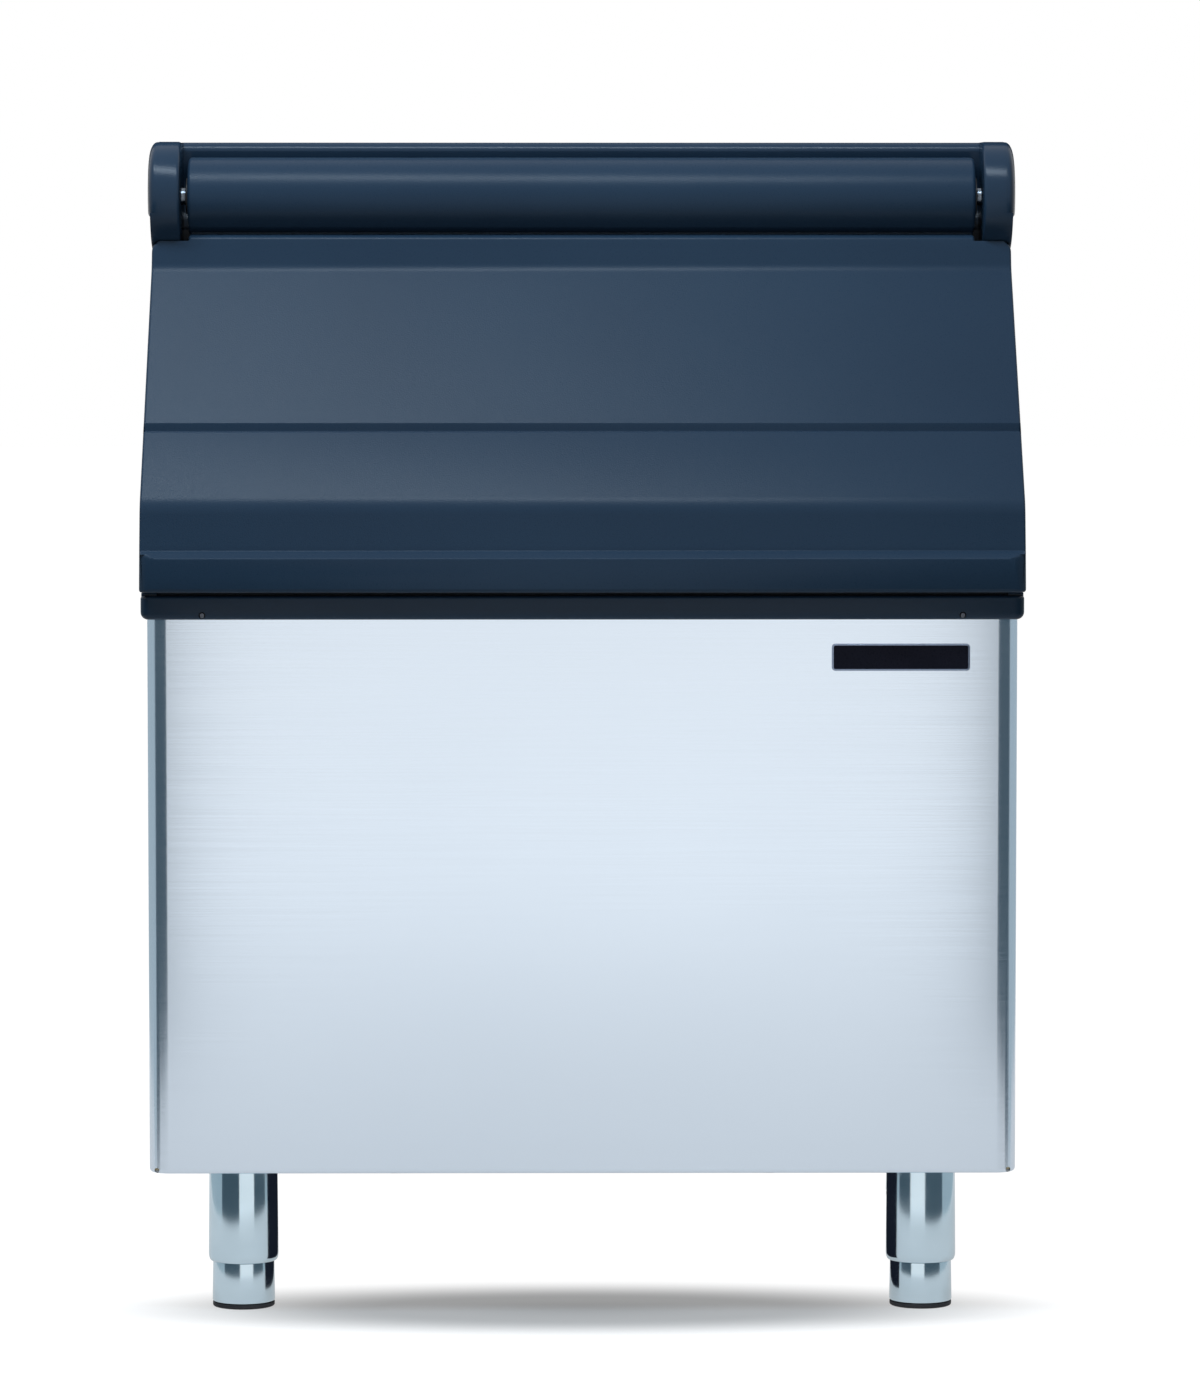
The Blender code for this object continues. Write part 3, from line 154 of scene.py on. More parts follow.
def weld(distance=0.00001):
    """Merges the points of the piece in hand that lie on each other."""
    bpy.ops.mesh.select_all(action="SELECT")
    bpy.ops.mesh.remove_doubles(threshold=distance)


def clean_up(piece, distance=0.00003):
    """Merges what a cut left lying together, and takes the lines out of flat faces."""
    take(piece)
    weld(distance)
    bpy.ops.mesh.dissolve_limited(angle_limit=math.radians(0.5))
    put_down()


def add_block(name, low, high):
    """A cube primitive between two corners, its size and place in its mesh."""
    bpy.ops.object.select_all(action="DESELECT")
    size = [b - a for a, b in zip(low, high)]
    centre = [(a + b) / 2 for a, b in zip(low, high)]
    bpy.ops.mesh.primitive_cube_add(size=1, location=centre, scale=size)
    block = bpy.context.object
    block.name = name
    bpy.ops.object.transform_apply()
    return block


def rounded(corners, steps=6):
    """A closed outline from (first, second, radius) corners, each radius drawn as an arc."""
    points = []
    for i, (first, second, radius) in enumerate(corners):
        here = Vector((first, second))
        if not radius:
            points.append(here)
            continue
        before = (Vector(corners[i - 1][:2]) - here).normalized()
        after = (Vector(corners[(i + 1) % len(corners)][:2]) - here).normalized()
        half = before.angle(after) / 2
        reach = radius / math.tan(half)
        centre = here + (before + after).normalized() * radius / math.sin(half)
        start, end = here + before * reach - centre, here + after * reach - centre
        sweep = start.angle(end)
        for step in range(steps + 1):
            share = step / steps
            near, far = math.sin((1 - share) * sweep), math.sin(share * sweep)
            points.append(centre + (start * near + end * far) / math.sin(sweep))
    return points


def arc(centre, radius, start, end, steps):
    turns = [start + (end - start) * i / steps for i in range(steps + 1)]
    return [centre + radius * Vector((math.cos(a), math.sin(a))) for a in turns]


def draw_line(name, places):
    """Starts from one point and pulls a line from place to place, left open for shaping."""
    bpy.ops.object.select_all(action="DESELECT")
    bpy.ops.mesh.primitive_plane_add(size=0.001)
    piece = bpy.context.object
    piece.name = name
    bpy.ops.object.mode_set(mode="EDIT")
    bpy.ops.mesh.select_mode(type="VERT")
    bpy.ops.mesh.select_all(action="SELECT")
    bpy.ops.mesh.merge(type="CENTER")
    bpy.ops.mesh.select_all(action="SELECT")
    bpy.ops.transform.translate(value=places[0])
    for here, there in zip(places, places[1:]):
        bpy.ops.mesh.extrude_region_move(TRANSFORM_OT_translate={"value": there - here})
    bpy.ops.mesh.select_all(action="SELECT")
    return piece


def draw_out(name, outline, low, high, along="X"):
    """Draws an outline point by point, fills it and pulls it out along an axis."""
    places = {
        "X": [Vector((low, p[0], p[1])) for p in outline],
        "Y": [Vector((p[0], low, p[1])) for p in outline],
        "Z": [Vector((p[0], p[1], low)) for p in outline],
    }[along]
    pull = {"X": (high - low, 0, 0), "Y": (0, high - low, 0), "Z": (0, 0, high - low)}[along]
    piece = draw_line(name, places)
    bpy.ops.mesh.edge_face_add()
    bpy.ops.mesh.extrude_region_move(TRANSFORM_OT_translate={"value": pull})
    bpy.ops.mesh.select_all(action="SELECT")
    bpy.ops.mesh.normals_make_consistent(inside=False)
    put_down()
    return piece


def add_rod(name, radius, start, end, sides=32):
    """A cylinder primitive between two points, its place in its mesh."""
    bpy.ops.object.select_all(action="DESELECT")
    span = Vector(end) - Vector(start)
    bpy.ops.mesh.primitive_cylinder_add(
        vertices=sides,
        radius=radius,
        depth=span.length,
        location=(Vector(start) + Vector(end)) / 2,
        rotation=span.to_track_quat("Z", "Y").to_euler(),
    )
    rod = bpy.context.object
    rod.name = name
    bpy.ops.object.transform_apply()
    return rod


def work_in(piece, tool, operation="DIFFERENCE"):
    """Cuts a tool out of a piece, or joins it on, and clears the tool away."""
    change = piece.modifiers.new("work", "BOOLEAN")
    change.object = tool
    change.operation = operation
    change.solver = "EXACT"
    hold(piece)
    bpy.ops.object.modifier_apply(modifier=change.name)
    bpy.data.objects.remove(tool, do_unlink=True)


def thicken(piece, thickness):
    """Gives an open sheet its thickness, on its inner side."""
    wall = piece.modifiers.new("sheet", "SOLIDIFY")
    wall.thickness = thickness
    wall.offset = -1
    wall.use_even_offset = True
    hold(piece)
    bpy.ops.object.modifier_apply(modifier=wall.name)


def smooth(piece, degrees=30):
    hold(piece)
    bpy.ops.object.shade_smooth_by_angle(angle=math.radians(degrees))


def dress(piece, material):
    piece.data.materials.clear()
    piece.data.materials.append(material)


def shader_of(material):
    return material.node_tree.nodes["Principled BSDF"]


def start_material(name, colour, roughness, metallic=0.0):
    """A material with its shader set, ready for more detail."""
    material = bpy.data.materials.new(name)
    material.use_nodes = True
    shader = shader_of(material)
    shader.inputs["Base Color"].default_value = (*colour, 1)
    shader.inputs["Roughness"].default_value = roughness
    shader.inputs["Metallic"].default_value = metallic
    return material


def add_grain(material, scale, detail=3, stretch=(1, 1, 1)):
    """Noise on the piece's own coordinates, stretched along each axis."""
    nodes, links = material.node_tree.nodes, material.node_tree.links
    place = nodes.new("ShaderNodeTexCoord")
    mapping = nodes.new("ShaderNodeMapping")
    mapping.inputs["Scale"].default_value = stretch
    links.new(place.outputs["Object"], mapping.inputs["Vector"])
    noise = nodes.new("ShaderNodeTexNoise")
    noise.inputs["Scale"].default_value = scale
    noise.inputs["Detail"].default_value = detail
    links.new(mapping.outputs["Vector"], noise.inputs["Vector"])
    return noise.outputs["Fac"]


def roughen(material, grain, low, high):
    """Feeds a grain into the roughness, between two limits."""
    nodes, links = material.node_tree.nodes, material.node_tree.links
    limits = nodes.new("ShaderNodeMapRange")
    limits.inputs["From Min"].default_value = GRAIN_LOW
    limits.inputs["From Max"].default_value = GRAIN_HIGH
    limits.inputs["To Min"].default_value = low
    limits.inputs["To Max"].default_value = high
    links.new(grain, limits.inputs["Value"])
    links.new(limits.outputs["Result"], shader_of(material).inputs["Roughness"])


def tint(material, grain, dark, light):
    """Feeds a grain into the colour, between two close shades."""
    nodes, links = material.node_tree.nodes, material.node_tree.links
    ramp = nodes.new("ShaderNodeValToRGB")
    ramp.color_ramp.elements[0].position = GRAIN_LOW
    ramp.color_ramp.elements[0].color = (*dark, 1)
    ramp.color_ramp.elements[1].position = GRAIN_HIGH
    ramp.color_ramp.elements[1].color = (*light, 1)
    links.new(grain, ramp.inputs["Fac"])
    links.new(ramp.outputs["Color"], shader_of(material).inputs["Base Color"])


def raise_grain(material, grain, height, strength):
    """Feeds a grain into the surface's small relief."""
    nodes, links = material.node_tree.nodes, material.node_tree.links
    bump = nodes.new("ShaderNodeBump")
    bump.inputs["Distance"].default_value = height
    bump.inputs["Strength"].default_value = strength
    links.new(grain, bump.inputs["Height"])
    links.new(bump.outputs["Normal"], shader_of(material).inputs["Normal"])


brushed = start_material("brushed_stainless_sheet", (0.72, 0.81, 0.91), 0.2, 1.0)
shader = shader_of(brushed)
shader.inputs["Anisotropic"].default_value = 0.35
shader.inputs["Anisotropic Rotation"].default_value = 0.25
tangent = brushed.node_tree.nodes.new("ShaderNodeTangent")
tangent.axis = "Z"
brushed.node_tree.links.new(tangent.outputs["Tangent"], shader.inputs["Tangent"])
lines = add_grain(brushed, 1.0, stretch=(6, 6, 1400))
clouds = add_grain(brushed, 2.2)
tint(brushed, clouds, (0.705, 0.785, 0.875), (0.735, 0.815, 0.905))
roughen(brushed, lines, 0.17, 0.23)
raise_grain(brushed, lines, 0.000005, 0.12)

casing_low = (-CASING_HALF, CASING_FRONT, CASING_FOOT)
casing = add_block("casing_sheet", casing_low, (CASING_HALF, BIN_BACK, BIN_TOP))
take(casing)
pick("FACE", lambda f: f.normal.z > 0.9 or f.normal.y > 0.9)
bpy.ops.mesh.delete(type="FACE")
bevel(lambda e: runs_along(e, 2) and middle(e).y < 0, CORNER_BEND, 12)
bevel(
    lambda e: middle(e).z < CASING_FOOT + SHEET and middle(e).y < BIN_BACK - SHEET, FOOT_FOLD, 5
)
pick("FACE", lambda f: f.normal.z < -0.999)
bpy.ops.mesh.inset(thickness=FOOT_FLANGE - FOOT_FOLD, use_boundary=False)
bpy.ops.mesh.delete(type="FACE")
put_down()
thicken(casing, SHEET)
slot_foot = (FACE_BEND.x + SLOT_DEPTH, SILL_TOP - SILL_COVER)
slot_head = behind_face(SLOT_DEPTH, CASING_HEAD)
above_casing = [(-PAST, slot_foot[1]), slot_foot, bend_behind_face(SLOT_DEPTH), slot_head]
above_casing += [(PAST, slot_head.y), (PAST, OVER), (-PAST, OVER)]
work_in(casing, draw_out("above_casing", above_casing, -PAST, PAST))
for side in (-1, 1):
    outside = (side * RELIEF_X, CASING_FRONT - 0.02, RELIEF_Z)
    inside = (side * RELIEF_X, CASING_FRONT + CORNER_BEND, RELIEF_Z)
    work_in(casing, add_rod("relief", RELIEF_RADIUS, outside, inside, 24))
smooth(casing)
dress(casing, brushed)
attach(casing, "cabinet")
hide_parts("outer_casing")

# Base pan, back panel and nut plates: plain galvanised sheets that close the bottom and the back,
# bonded to the foam that fills the walls, and threaded plates on the pan that take the legs.
galvanised = start_material("galvanised_sheet", (0.50, 0.52, 0.54), 0.45, 1.0)
nodes, links = galvanised.node_tree.nodes, galvanised.node_tree.links
place = nodes.new("ShaderNodeTexCoord")
spangle = nodes.new("ShaderNodeTexVoronoi")
spangle.inputs["Scale"].default_value = 85
links.new(place.outputs["Object"], spangle.inputs["Vector"])
tint(galvanised, spangle.outputs["Color"], (0.46, 0.48, 0.50), (0.55, 0.57, 0.59))
roughen(galvanised, spangle.outputs["Color"], 0.36, 0.52)
for name in ("base_pan", "back_panel"):
    dress(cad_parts[name], galvanised)
for corner in ("front_left", "front_right", "rear_left", "rear_right"):
    dress(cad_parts[corner + "_nut_plate"], galvanised)

# Insulation: rigid foam that fills the cabinet's walls and the hollow door, out of sight
# behind the sheets and the mouldings.
foam = start_material("rigid_foam", (0.80, 0.68, 0.42), 0.9)
cells = add_grain(foam, 260)
tint(foam, cells, (0.72, 0.60, 0.36), (0.82, 0.71, 0.46))
raise_grain(foam, cells, 0.0006, 0.5)
for name in ("insulation_foam", "door_foam"):
    dress(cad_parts[name], foam)

# Tank: a seamless white plastic lining with well rounded corners, its floor falling to the drain.
# It is moulded open at the top and front, and its rim is bonded under the top frame.
TANK_HALF = 0.331
TANK_FRONT = -0.335
TANK_BACK = 0.370
TANK_FLOOR = 0.182
TANK_WALL = 0.003
TANK_CORNER = 0.028
FLOOR_FALL = 0.012
FLAT_FRONT = 0.230
FRAME_BACK_PLANE = 0.065
SILL_FOOT = 0.6155
RIM_FOOT = 0.9669
DRAIN_Y = 0.300
DRAIN_BORE = 0.0170
HAIR = 0.0003

tank_white = start_material("tank_plastic", (0.80, 0.82, 0.82), 0.38)
skin = add_grain(tank_white, 900, 2)
haze = add_grain(tank_white, 3)
tint(tank_white, haze, (0.76, 0.78, 0.79), (0.83, 0.85, 0.85))
roughen(tank_white, haze, 0.34, 0.44)
raise_grain(tank_white, skin, 0.0002, 0.2)

tank_low = (-TANK_HALF - TANK_WALL, TANK_FRONT - TANK_WALL, TANK_FLOOR - TANK_WALL)
tank_high = (TANK_HALF + TANK_WALL, TANK_BACK + TANK_WALL, BIN_TOP)
tank = add_block("tank", tank_low, tank_high)
take(tank)
pick("FACE", lambda f: f.normal.z > 0.9)
bpy.ops.mesh.delete(type="FACE")
bpy.ops.mesh.select_all(action="SELECT")
bpy.ops.mesh.bisect(plane_co=(0, FLAT_FRONT, 0), plane_no=(0, 1, 0))
pick("EDGE", lambda e: runs_along(e, 0) and middle(e).z < TANK_FLOOR and middle(e).y < TANK_FRONT)
bpy.ops.transform.translate(value=(0, 0, FLOOR_FALL))
bevel(lambda e: is_corner(e, 30), TANK_CORNER, 10)
put_down()
thicken(tank, TANK_WALL)
under_front = TANK_FRONT + HAIR
under_turn = along_slope(bend_behind_face(FRAME_BACK_PLANE + HAIR), under_front)
under_head = behind_face(FRAME_BACK_PLANE + HAIR, RIM_FOOT - HAIR)
above_tank = [(-PAST, SILL_FOOT - HAIR), (under_front, SILL_FOOT - HAIR), under_turn, under_head]
above_tank += [(PAST, under_head.y), (PAST, OVER), (-PAST, OVER)]
work_in(tank, draw_out("above_tank", above_tank, -PAST, PAST))
below, above = ((0, DRAIN_Y, TANK_FLOOR + height) for height in (-0.02, 0.02))
work_in(tank, add_rod("drain_way", DRAIN_BORE, below, above, 48))
smooth(tank)
dress(tank, tank_white)
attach(tank, "cabinet")
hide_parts("liner")

# Top frame: one moulding in slate plastic that makes the rim, the two hinge ears, the rails
# beside the opening and the sill, whose ends rise a little under the door's corners. The
# casing's top edge is let into its underside.
HINGE = Vector((-0.228, 0.986))
EAR_RADIUS = 0.0486
FRAME_HALF = 0.383
BAND_HALF = 0.3855
BAND_WIDTH = 0.010
BAND_DROP = 0.014
BAND_SIDE = 0.007
SEAL_PLANE = 0.044
RAIL_BACK = 0.0213
SILL_FRONT = -0.3935
SILL_END_HEAD = SILL_TOP + 0.003
EAR_INSIDE = 0.3571
EAR_EDGE = 0.0028
BAR_FRONT = -0.2055
BAR_UNDERCUT = 0.010
BAR_ROUND = 0.008
BARREL_SPACE = 0.037
BAY_FOOT = 0.9371
THROAT_FRONT = -0.150
THROAT_CORNER = 0.015
OPENING_FOOT = 0.664
OPENING_HEAD = 0.898
OPENING_CORNER = 0.012
OPENING_EDGE = 0.0018
PIN_WAY = 0.0083
PIN_HEAD_WAY = 0.0123
PIN_HEAD_SEAT = 0.3822
SCREW_X = 0.3316
SCREW_Z = SILL_FOOT + 0.004
SLATE = (0.022, 0.048, 0.086)
SLATE_SHADES = ((0.020, 0.044, 0.080), (0.024, 0.052, 0.092))


def add_moulding(name, colour, roughness, scales, shades, limits, relief=None, specular=0.5):
    """A plastic with a fine grain in its roughness and relief, and a broad one in its colour."""
    material = start_material(name, colour, roughness)
    shader_of(material).inputs["Specular IOR Level"].default_value = specular
    fine, broad = add_grain(material, scales[0], 2), add_grain(material, scales[1])
    tint(material, broad, *shades)
    roughen(material, fine, *limits)
    if relief:
        raise_grain(material, fine, *relief)
    return material


def depth_of(place):
    """How far a point lies behind the door's face."""
    from_bend = Vector((place.y, place.z)) - FACE_BEND
    return min(from_bend.x, from_bend.dot(INTO_BIN))


def from_hinge(vertex):
    """How far a point lies from the line of the hinge."""
    return (Vector((vertex.co.y, vertex.co.z)) - HINGE).length


def plate_view(low, high, foot_radius, head_radius, steps=6):
    """The outline of a plate between two corners, rounded at its foot and at its head."""
    return rounded([
        (low[0], low[1], foot_radius),
        (high[0], low[1], foot_radius),
        (high[0], high[1], head_radius),
        (low[0], high[1], head_radius),
    ], steps)


def spin_up(name, profile, sides=64):
    """Turns a line of (radius, height) points round the upright axis."""
    piece = draw_line(name, [Vector((radius, 0, height)) for radius, height in profile])
    bpy.ops.mesh.spin(steps=sides, angle=2 * math.pi, center=(0, 0, 0), axis=(0, 0, 1))
    weld()
    bpy.ops.mesh.select_all(action="SELECT")
    bpy.ops.mesh.normals_make_consistent(inside=False)
    put_down()
    return piece


def lay(piece, turn, place):
    """Turns a piece and moves it to its place, both kept in its mesh."""
    hold(piece)
    piece.rotation_euler = turn
    piece.location = place
    bpy.ops.object.transform_apply()
    return piece


slate = add_moulding(
    "slate_plastic", SLATE, 0.24, (950, 3.5), SLATE_SHADES, (0.17, 0.24), (0.00025, 0.35), 0.14
)
foot = (FACE_BEND.x + SEAL_PLANE, SILL_FOOT + 0.0025)
head = along_slope(FACE_BEND + INTO_BIN * SEAL_PLANE, HINGE.x + RAIL_BACK)
under_head = behind_face(FRAME_BACK_PLANE, RIM_FOOT)
under_bend = along_slope(bend_behind_face(FRAME_BACK_PLANE), TANK_FRONT)
side_view = [foot, bend_behind_face(SEAL_PLANE), head]
side_view += arc(HINGE, EAR_RADIUS, -math.acos(RAIL_BACK / EAR_RADIUS), -math.pi * 1.5, 56)
side_view += [(BIN_BACK, BIN_TOP), (BIN_BACK, RIM_FOOT), under_head, under_bend]
side_view += [(TANK_FRONT, foot[1])]
top_frame = draw_out("top_frame", side_view, -FRAME_HALF, FRAME_HALF)

sill_high = (BAND_HALF, TANK_FRONT - HAIR, SILL_TOP)
sill = add_block("sill", (-BAND_HALF, SILL_FRONT, SILL_FOOT), sill_high)
take(sill)
bevel(lambda e: runs_along(e, 2) and middle(e).y < CASING_FRONT, 0.008, 8)
bevel(lambda e: middle(e).z < SILL_FOOT + 0.001 and middle(e).y < TANK_FRONT - 0.001, 0.0065, 6)
bevel(lambda e: middle(e).z > SILL_TOP - 0.001 and middle(e).y < TANK_FRONT - 0.001, 0.0025, 4)
put_down()
for side in (-1, 1):
    inner, outer = sorted((side * (BAND_HALF - 0.014), side * (BAND_HALF - 0.0006)))
    stop_low, stop_high = (inner, -0.3845, SILL_TOP - 0.006), (outer, -0.3650, SILL_END_HEAD)
    stop = add_block("sill_end", stop_low, stop_high)
    round_off(stop, lambda e: middle(e).z > SILL_END_HEAD - CLOSE, 0.0012, 3)
    work_in(sill, stop, "UNION")
work_in(top_frame, sill, "UNION")

# The bay that the barrel turns in, under the header bar with its rounded upper edge
bar_edge = Vector((BAR_FRONT + BAR_ROUND, BIN_TOP - BAR_ROUND))
bay_low = -math.acos((BAR_FRONT - HINGE.x) / BARREL_SPACE)
bay_high = math.acos((BAR_FRONT + BAR_UNDERCUT - HINGE.x) / BARREL_SPACE)
bay = [(-0.32, BAY_FOOT), (BAR_FRONT, BAY_FOOT)]
bay += arc(HINGE, BARREL_SPACE, bay_low, bay_high, 24)
bay += arc(bar_edge, BAR_ROUND, math.pi, math.pi / 2, 12)
bay += [(bar_edge.x, 1.08), (-0.32, 1.08)]
work_in(top_frame, draw_out("bay", bay, -EAR_INSIDE, EAR_INSIDE))
take(top_frame)
weld()
bevel(lambda e: all(at(abs(v.co.x), EAR_INSIDE) and at(from_hinge(v), EAR_RADIUS) for v in e.verts)
      and middle(e).y < BAR_FRONT - 0.001, EAR_EDGE, 4)
put_down()


# The rim's side bands, each with a domed cap at its front end that turns round the hinge. They
# take the place of the frame's own sides, and their feet are rounded in.
def dome(side, drop):
    """A quarter of an oval, as (in from the side, down from the top) points."""
    turns = [math.radians(10 * step) for step in range(10)]
    return [(side * (1 - math.sin(a)), drop * (1 - math.cos(a))) for a in turns]


cap_radius, band_head, band_foot = EAR_RADIUS - HAIR, BIN_TOP - HAIR, RIM_FOOT + HAIR
cap_view = [(0, 0), (cap_radius, 0)]
cap_view += [(cap_radius - down, BAND_WIDTH - x) for x, down in dome(BAND_SIDE, BAND_DROP)]
cap_view += [(0, BAND_WIDTH)]
for side in (-1, 1):
    inner, outer = sorted((side * (BAND_HALF - BAND_WIDTH + 0.0015), side * 0.40))
    rim_low, rim_high = (inner, -0.32, RIM_FOOT + 0.004), (outer, 0.45, 1.06)
    work_in(top_frame, add_block("rim_side", rim_low, rim_high))
    band_inside = side * (BAND_HALF - BAND_WIDTH)
    rail_view = [(band_inside, band_head), (band_inside, 0.95), (side * BAND_HALF, 0.95)]
    for x, down in dome(BAND_SIDE, BAND_DROP)[::-1]:
        rail_view += [(side * (BAND_HALF - x), band_head - down)]
    band = draw_out("rim_band", rail_view, HINGE.x, BIN_BACK - HAIR, "Y")
    cap = spin_up("rim_cap", cap_view, 96)
    lay(cap, (0, side * math.radians(90), 0), (band_inside, *HINGE))
    work_in(band, cap, "UNION")
    clean_up(band)
    foot_view = [(side * 0.36, 1.1), (side * 0.36, band_foot)]
    foot_view += [(side * (BAND_HALF - x), band_foot + up) for x, up in dome(0.003, 0.006)]
    foot_view += [(side * 0.40, 1.0), (side * 0.40, 1.1)]
    work_in(band, draw_out("band_foot", foot_view, -0.40, 0.50, "Y"), "INTERSECT")
    clean_up(band)
    work_in(top_frame, band, "UNION")
    clean_up(top_frame)

# The door opening, the machine's throat, and the ways for the pins and the screws
opening_low, opening_high = (-TANK_HALF, OPENING_FOOT), (TANK_HALF, OPENING_HEAD)
opening = plate_view(opening_low, opening_high, OPENING_CORNER, OPENING_CORNER, 8)
work_in(top_frame, draw_out("opening", opening, -0.45, under_head.x, "Y"))
take(top_frame)
weld()
bevel(lambda e: is_corner(e, 30) and at(depth_of(middle(e)), SEAL_PLANE)
      and abs(middle(e).x) < TANK_HALF + CLOSE and 0.66 < middle(e).z < 0.90, OPENING_EDGE, 3)
put_down()
throat_low, throat_high = (-TANK_HALF, THROAT_FRONT), (TANK_HALF, TANK_BACK)
throat = plate_view(throat_low, throat_high, THROAT_CORNER, THROAT_CORNER, 8)
work_in(top_frame, draw_out("throat", throat, 0.94, 1.06, "Z"))
clean_up(top_frame)
for side in (-1, 1):
    inside, seat, outside = ((side * x, *HINGE) for x in (0.33, PIN_HEAD_SEAT, 0.41))
    work_in(top_frame, add_rod("pin_way", PIN_WAY, inside, outside, 48))
    work_in(top_frame, add_rod("head_way", PIN_HEAD_WAY, seat, outside, 48))
    outside, seat, inside = ((side * SCREW_X, y, SCREW_Z) for y in (-0.42, -0.389, -0.3765))
    work_in(top_frame, add_rod("screw_way", 0.0030, outside, seat, 32))
    work_in(top_frame, add_rod("shank_way", 0.0018, outside, inside, 24))
smooth(top_frame)
dress(top_frame, slate)
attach(top_frame, "cabinet")
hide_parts("hood_frame")

# Badge: a bare dark plate in a lighter raised rim, stuck on the casing's front near its right
# upper corner.
BADGE_LEFT = 0.2177
BADGE_RIGHT = 0.3383
BADGE_FOOT = 0.5706
BADGE_HEAD = 0.5942
BADGE_FRONT = -0.3868
BADGE_BACK = -0.3853
BADGE_CORNER = 0.003

badge_black = add_moulding(
    "badge_plate", (0.007, 0.008, 0.017), 0.3, (700, 40),
    ((0.006, 0.007, 0.015), (0.009, 0.010, 0.020)), (0.24, 0.36), specular=0.06,
)
badge_rim = start_material("badge_rim", (0.22, 0.27, 0.37), 0.28, 1.0)
roughen(badge_rim, add_grain(badge_rim, 900, 2), 0.22, 0.34)

badge_low, badge_high = (BADGE_LEFT, BADGE_FOOT), (BADGE_RIGHT, BADGE_HEAD)
badge_view = plate_view(badge_low, badge_high, BADGE_CORNER, BADGE_CORNER)
badge = draw_out("badge", badge_view, BADGE_BACK, BADGE_FRONT, "Y")
take(badge)
bevel(lambda e: all(at(v.co.y, BADGE_FRONT) for v in e.verts), 0.0004, 3)
pick("FACE", lambda f: f.normal.y < -0.999 and len(f.verts) > 8)
bpy.ops.mesh.inset(thickness=0.0010)
bpy.ops.mesh.inset(thickness=0.0003, depth=-0.0005)
put_down()
dress(badge, badge_rim)
badge.data.materials.append(badge_black)
for face in badge.data.polygons:
    if face.normal.y < -0.999 and face.center.y > BADGE_FRONT + 0.0003:
        face.material_index = 1
smooth(badge)
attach(badge, "cabinet")
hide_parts("badge_plate")


# Sill screws: two small screws with raised heads that hold the sill to the casing, each in a
# sunk hole near an end of the sill's lower edge.
def copy_of(piece, name):
    """One more piece of the same shape, with a mesh of its own."""
    hold(piece)
    bpy.ops.object.duplicate()
    bpy.context.object.name = name
    return bpy.context.object


# The screw steel is painted dark, a shaded copy of bright steel: painted shade that keeps the
# heads dim in their sunk holes under the sill's edge
screw_steel = start_material("screw_steel", (0.10, 0.11, 0.13), 0.3, 1.0)
roughen(screw_steel, add_grain(screw_steel, 1.0, stretch=(900, 900, 900)), 0.24, 0.40)
screw_view = [(0, 0), (0.0009, 0.0004), (0.0015, 0.0016), (0.0015, 0.0120), (0.0027, 0.0120)]
screw_view += [(0.0027, 0.0131), (0.0024, 0.0138), (0.0018, 0.0142), (0.0010, 0.0142)]
screw_view += [(0.0008, 0.0133), (0, 0.0133)]
screw = spin_up("sill_screw", screw_view, 32)
smooth(screw)
dress(screw, screw_steel)
for side, name in ((-1, "left_sill_screw"), (1, "right_sill_screw")):
    piece = copy_of(screw, name + "_head")
    lay(piece, (math.radians(90), 0, 0), (side * SCREW_X, -0.3773, SCREW_Z))
    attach(piece, "cabinet")
    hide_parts(name)
bpy.data.objects.remove(screw, do_unlink=True)

# Hinge pins and bushes: a headed steel pin pushed in through each ear, turning in a flanged
# nylon bush pressed into the end of the door's barrel.
PIN_INSIDE = 0.3361
BARREL_INSIDE = 0.3351

# The pin steel is a shaded copy of the bright leg steel, painted dark: painted shade for the pins
# in the narrow gap between ear and barrel. The drain's strainer is dressed in it too.
pin_steel = start_material("pin_steel", (0.17, 0.20, 0.24), 0.24, 1.0)
turned_lines = add_grain(pin_steel, 1.0, stretch=(900, 3, 3))
smears = add_grain(pin_steel, 60)
tint(pin_steel, smears, (0.15, 0.18, 0.22), (0.20, 0.23, 0.27))
roughen(pin_steel, smears, 0.20, 0.30)
raise_grain(pin_steel, turned_lines, 0.00001, 0.15)
nylon = add_moulding(
    "black_nylon", (0.020, 0.020, 0.022), 0.48, (1400, 30),
    ((0.017, 0.017, 0.019), (0.024, 0.024, 0.027)), (0.42, 0.56),
)

pin_view = [(0, 0), (0.0070, 0), (0.0077, 0.0003), (0.0080, 0.0010), (0.0080, 0.0464)]
pin_view += [(0.0115, 0.0464), (0.0120, 0.0468), (0.0120, 0.0486), (0.0117, 0.0491)]
pin_view += [(0.0110, 0.0494), (0.0016, 0.0494), (0.0010, 0.0486), (0, 0.0486)]
pin = spin_up("hinge_pin", pin_view)
bush_view = [(0.0084, 0.0003), (0.0087, 0), (0.0110, 0), (0.0114, 0.0004), (0.0114, 0.0160)]
bush_view += [(0.0162, 0.0160), (0.0165, 0.0163), (0.0165, 0.0176), (0.0161, 0.0180)]
bush_view += [(0.0088, 0.0180), (0.0084, 0.0176)]
bush = spin_up("hinge_bush", bush_view + bush_view[:1])
for model, material in ((pin, pin_steel), (bush, nylon)):
    smooth(model)
    dress(model, material)
for side, name in ((-1, "left_hinge"), (1, "right_hinge")):
    turn = (0, side * math.radians(90), 0)
    piece = lay(copy_of(pin, name + "_headed_pin"), turn, (side * PIN_INSIDE, *HINGE))
    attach(piece, "cabinet")
    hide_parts(name + "_pin")
    piece = lay(copy_of(bush, name + "_flanged_bush"), turn, (side * BARREL_INSIDE, *HINGE))
    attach(piece, "door")
    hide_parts(name + "_bush")
for model in (pin, bush):
    bpy.data.objects.remove(model, do_unlink=True)

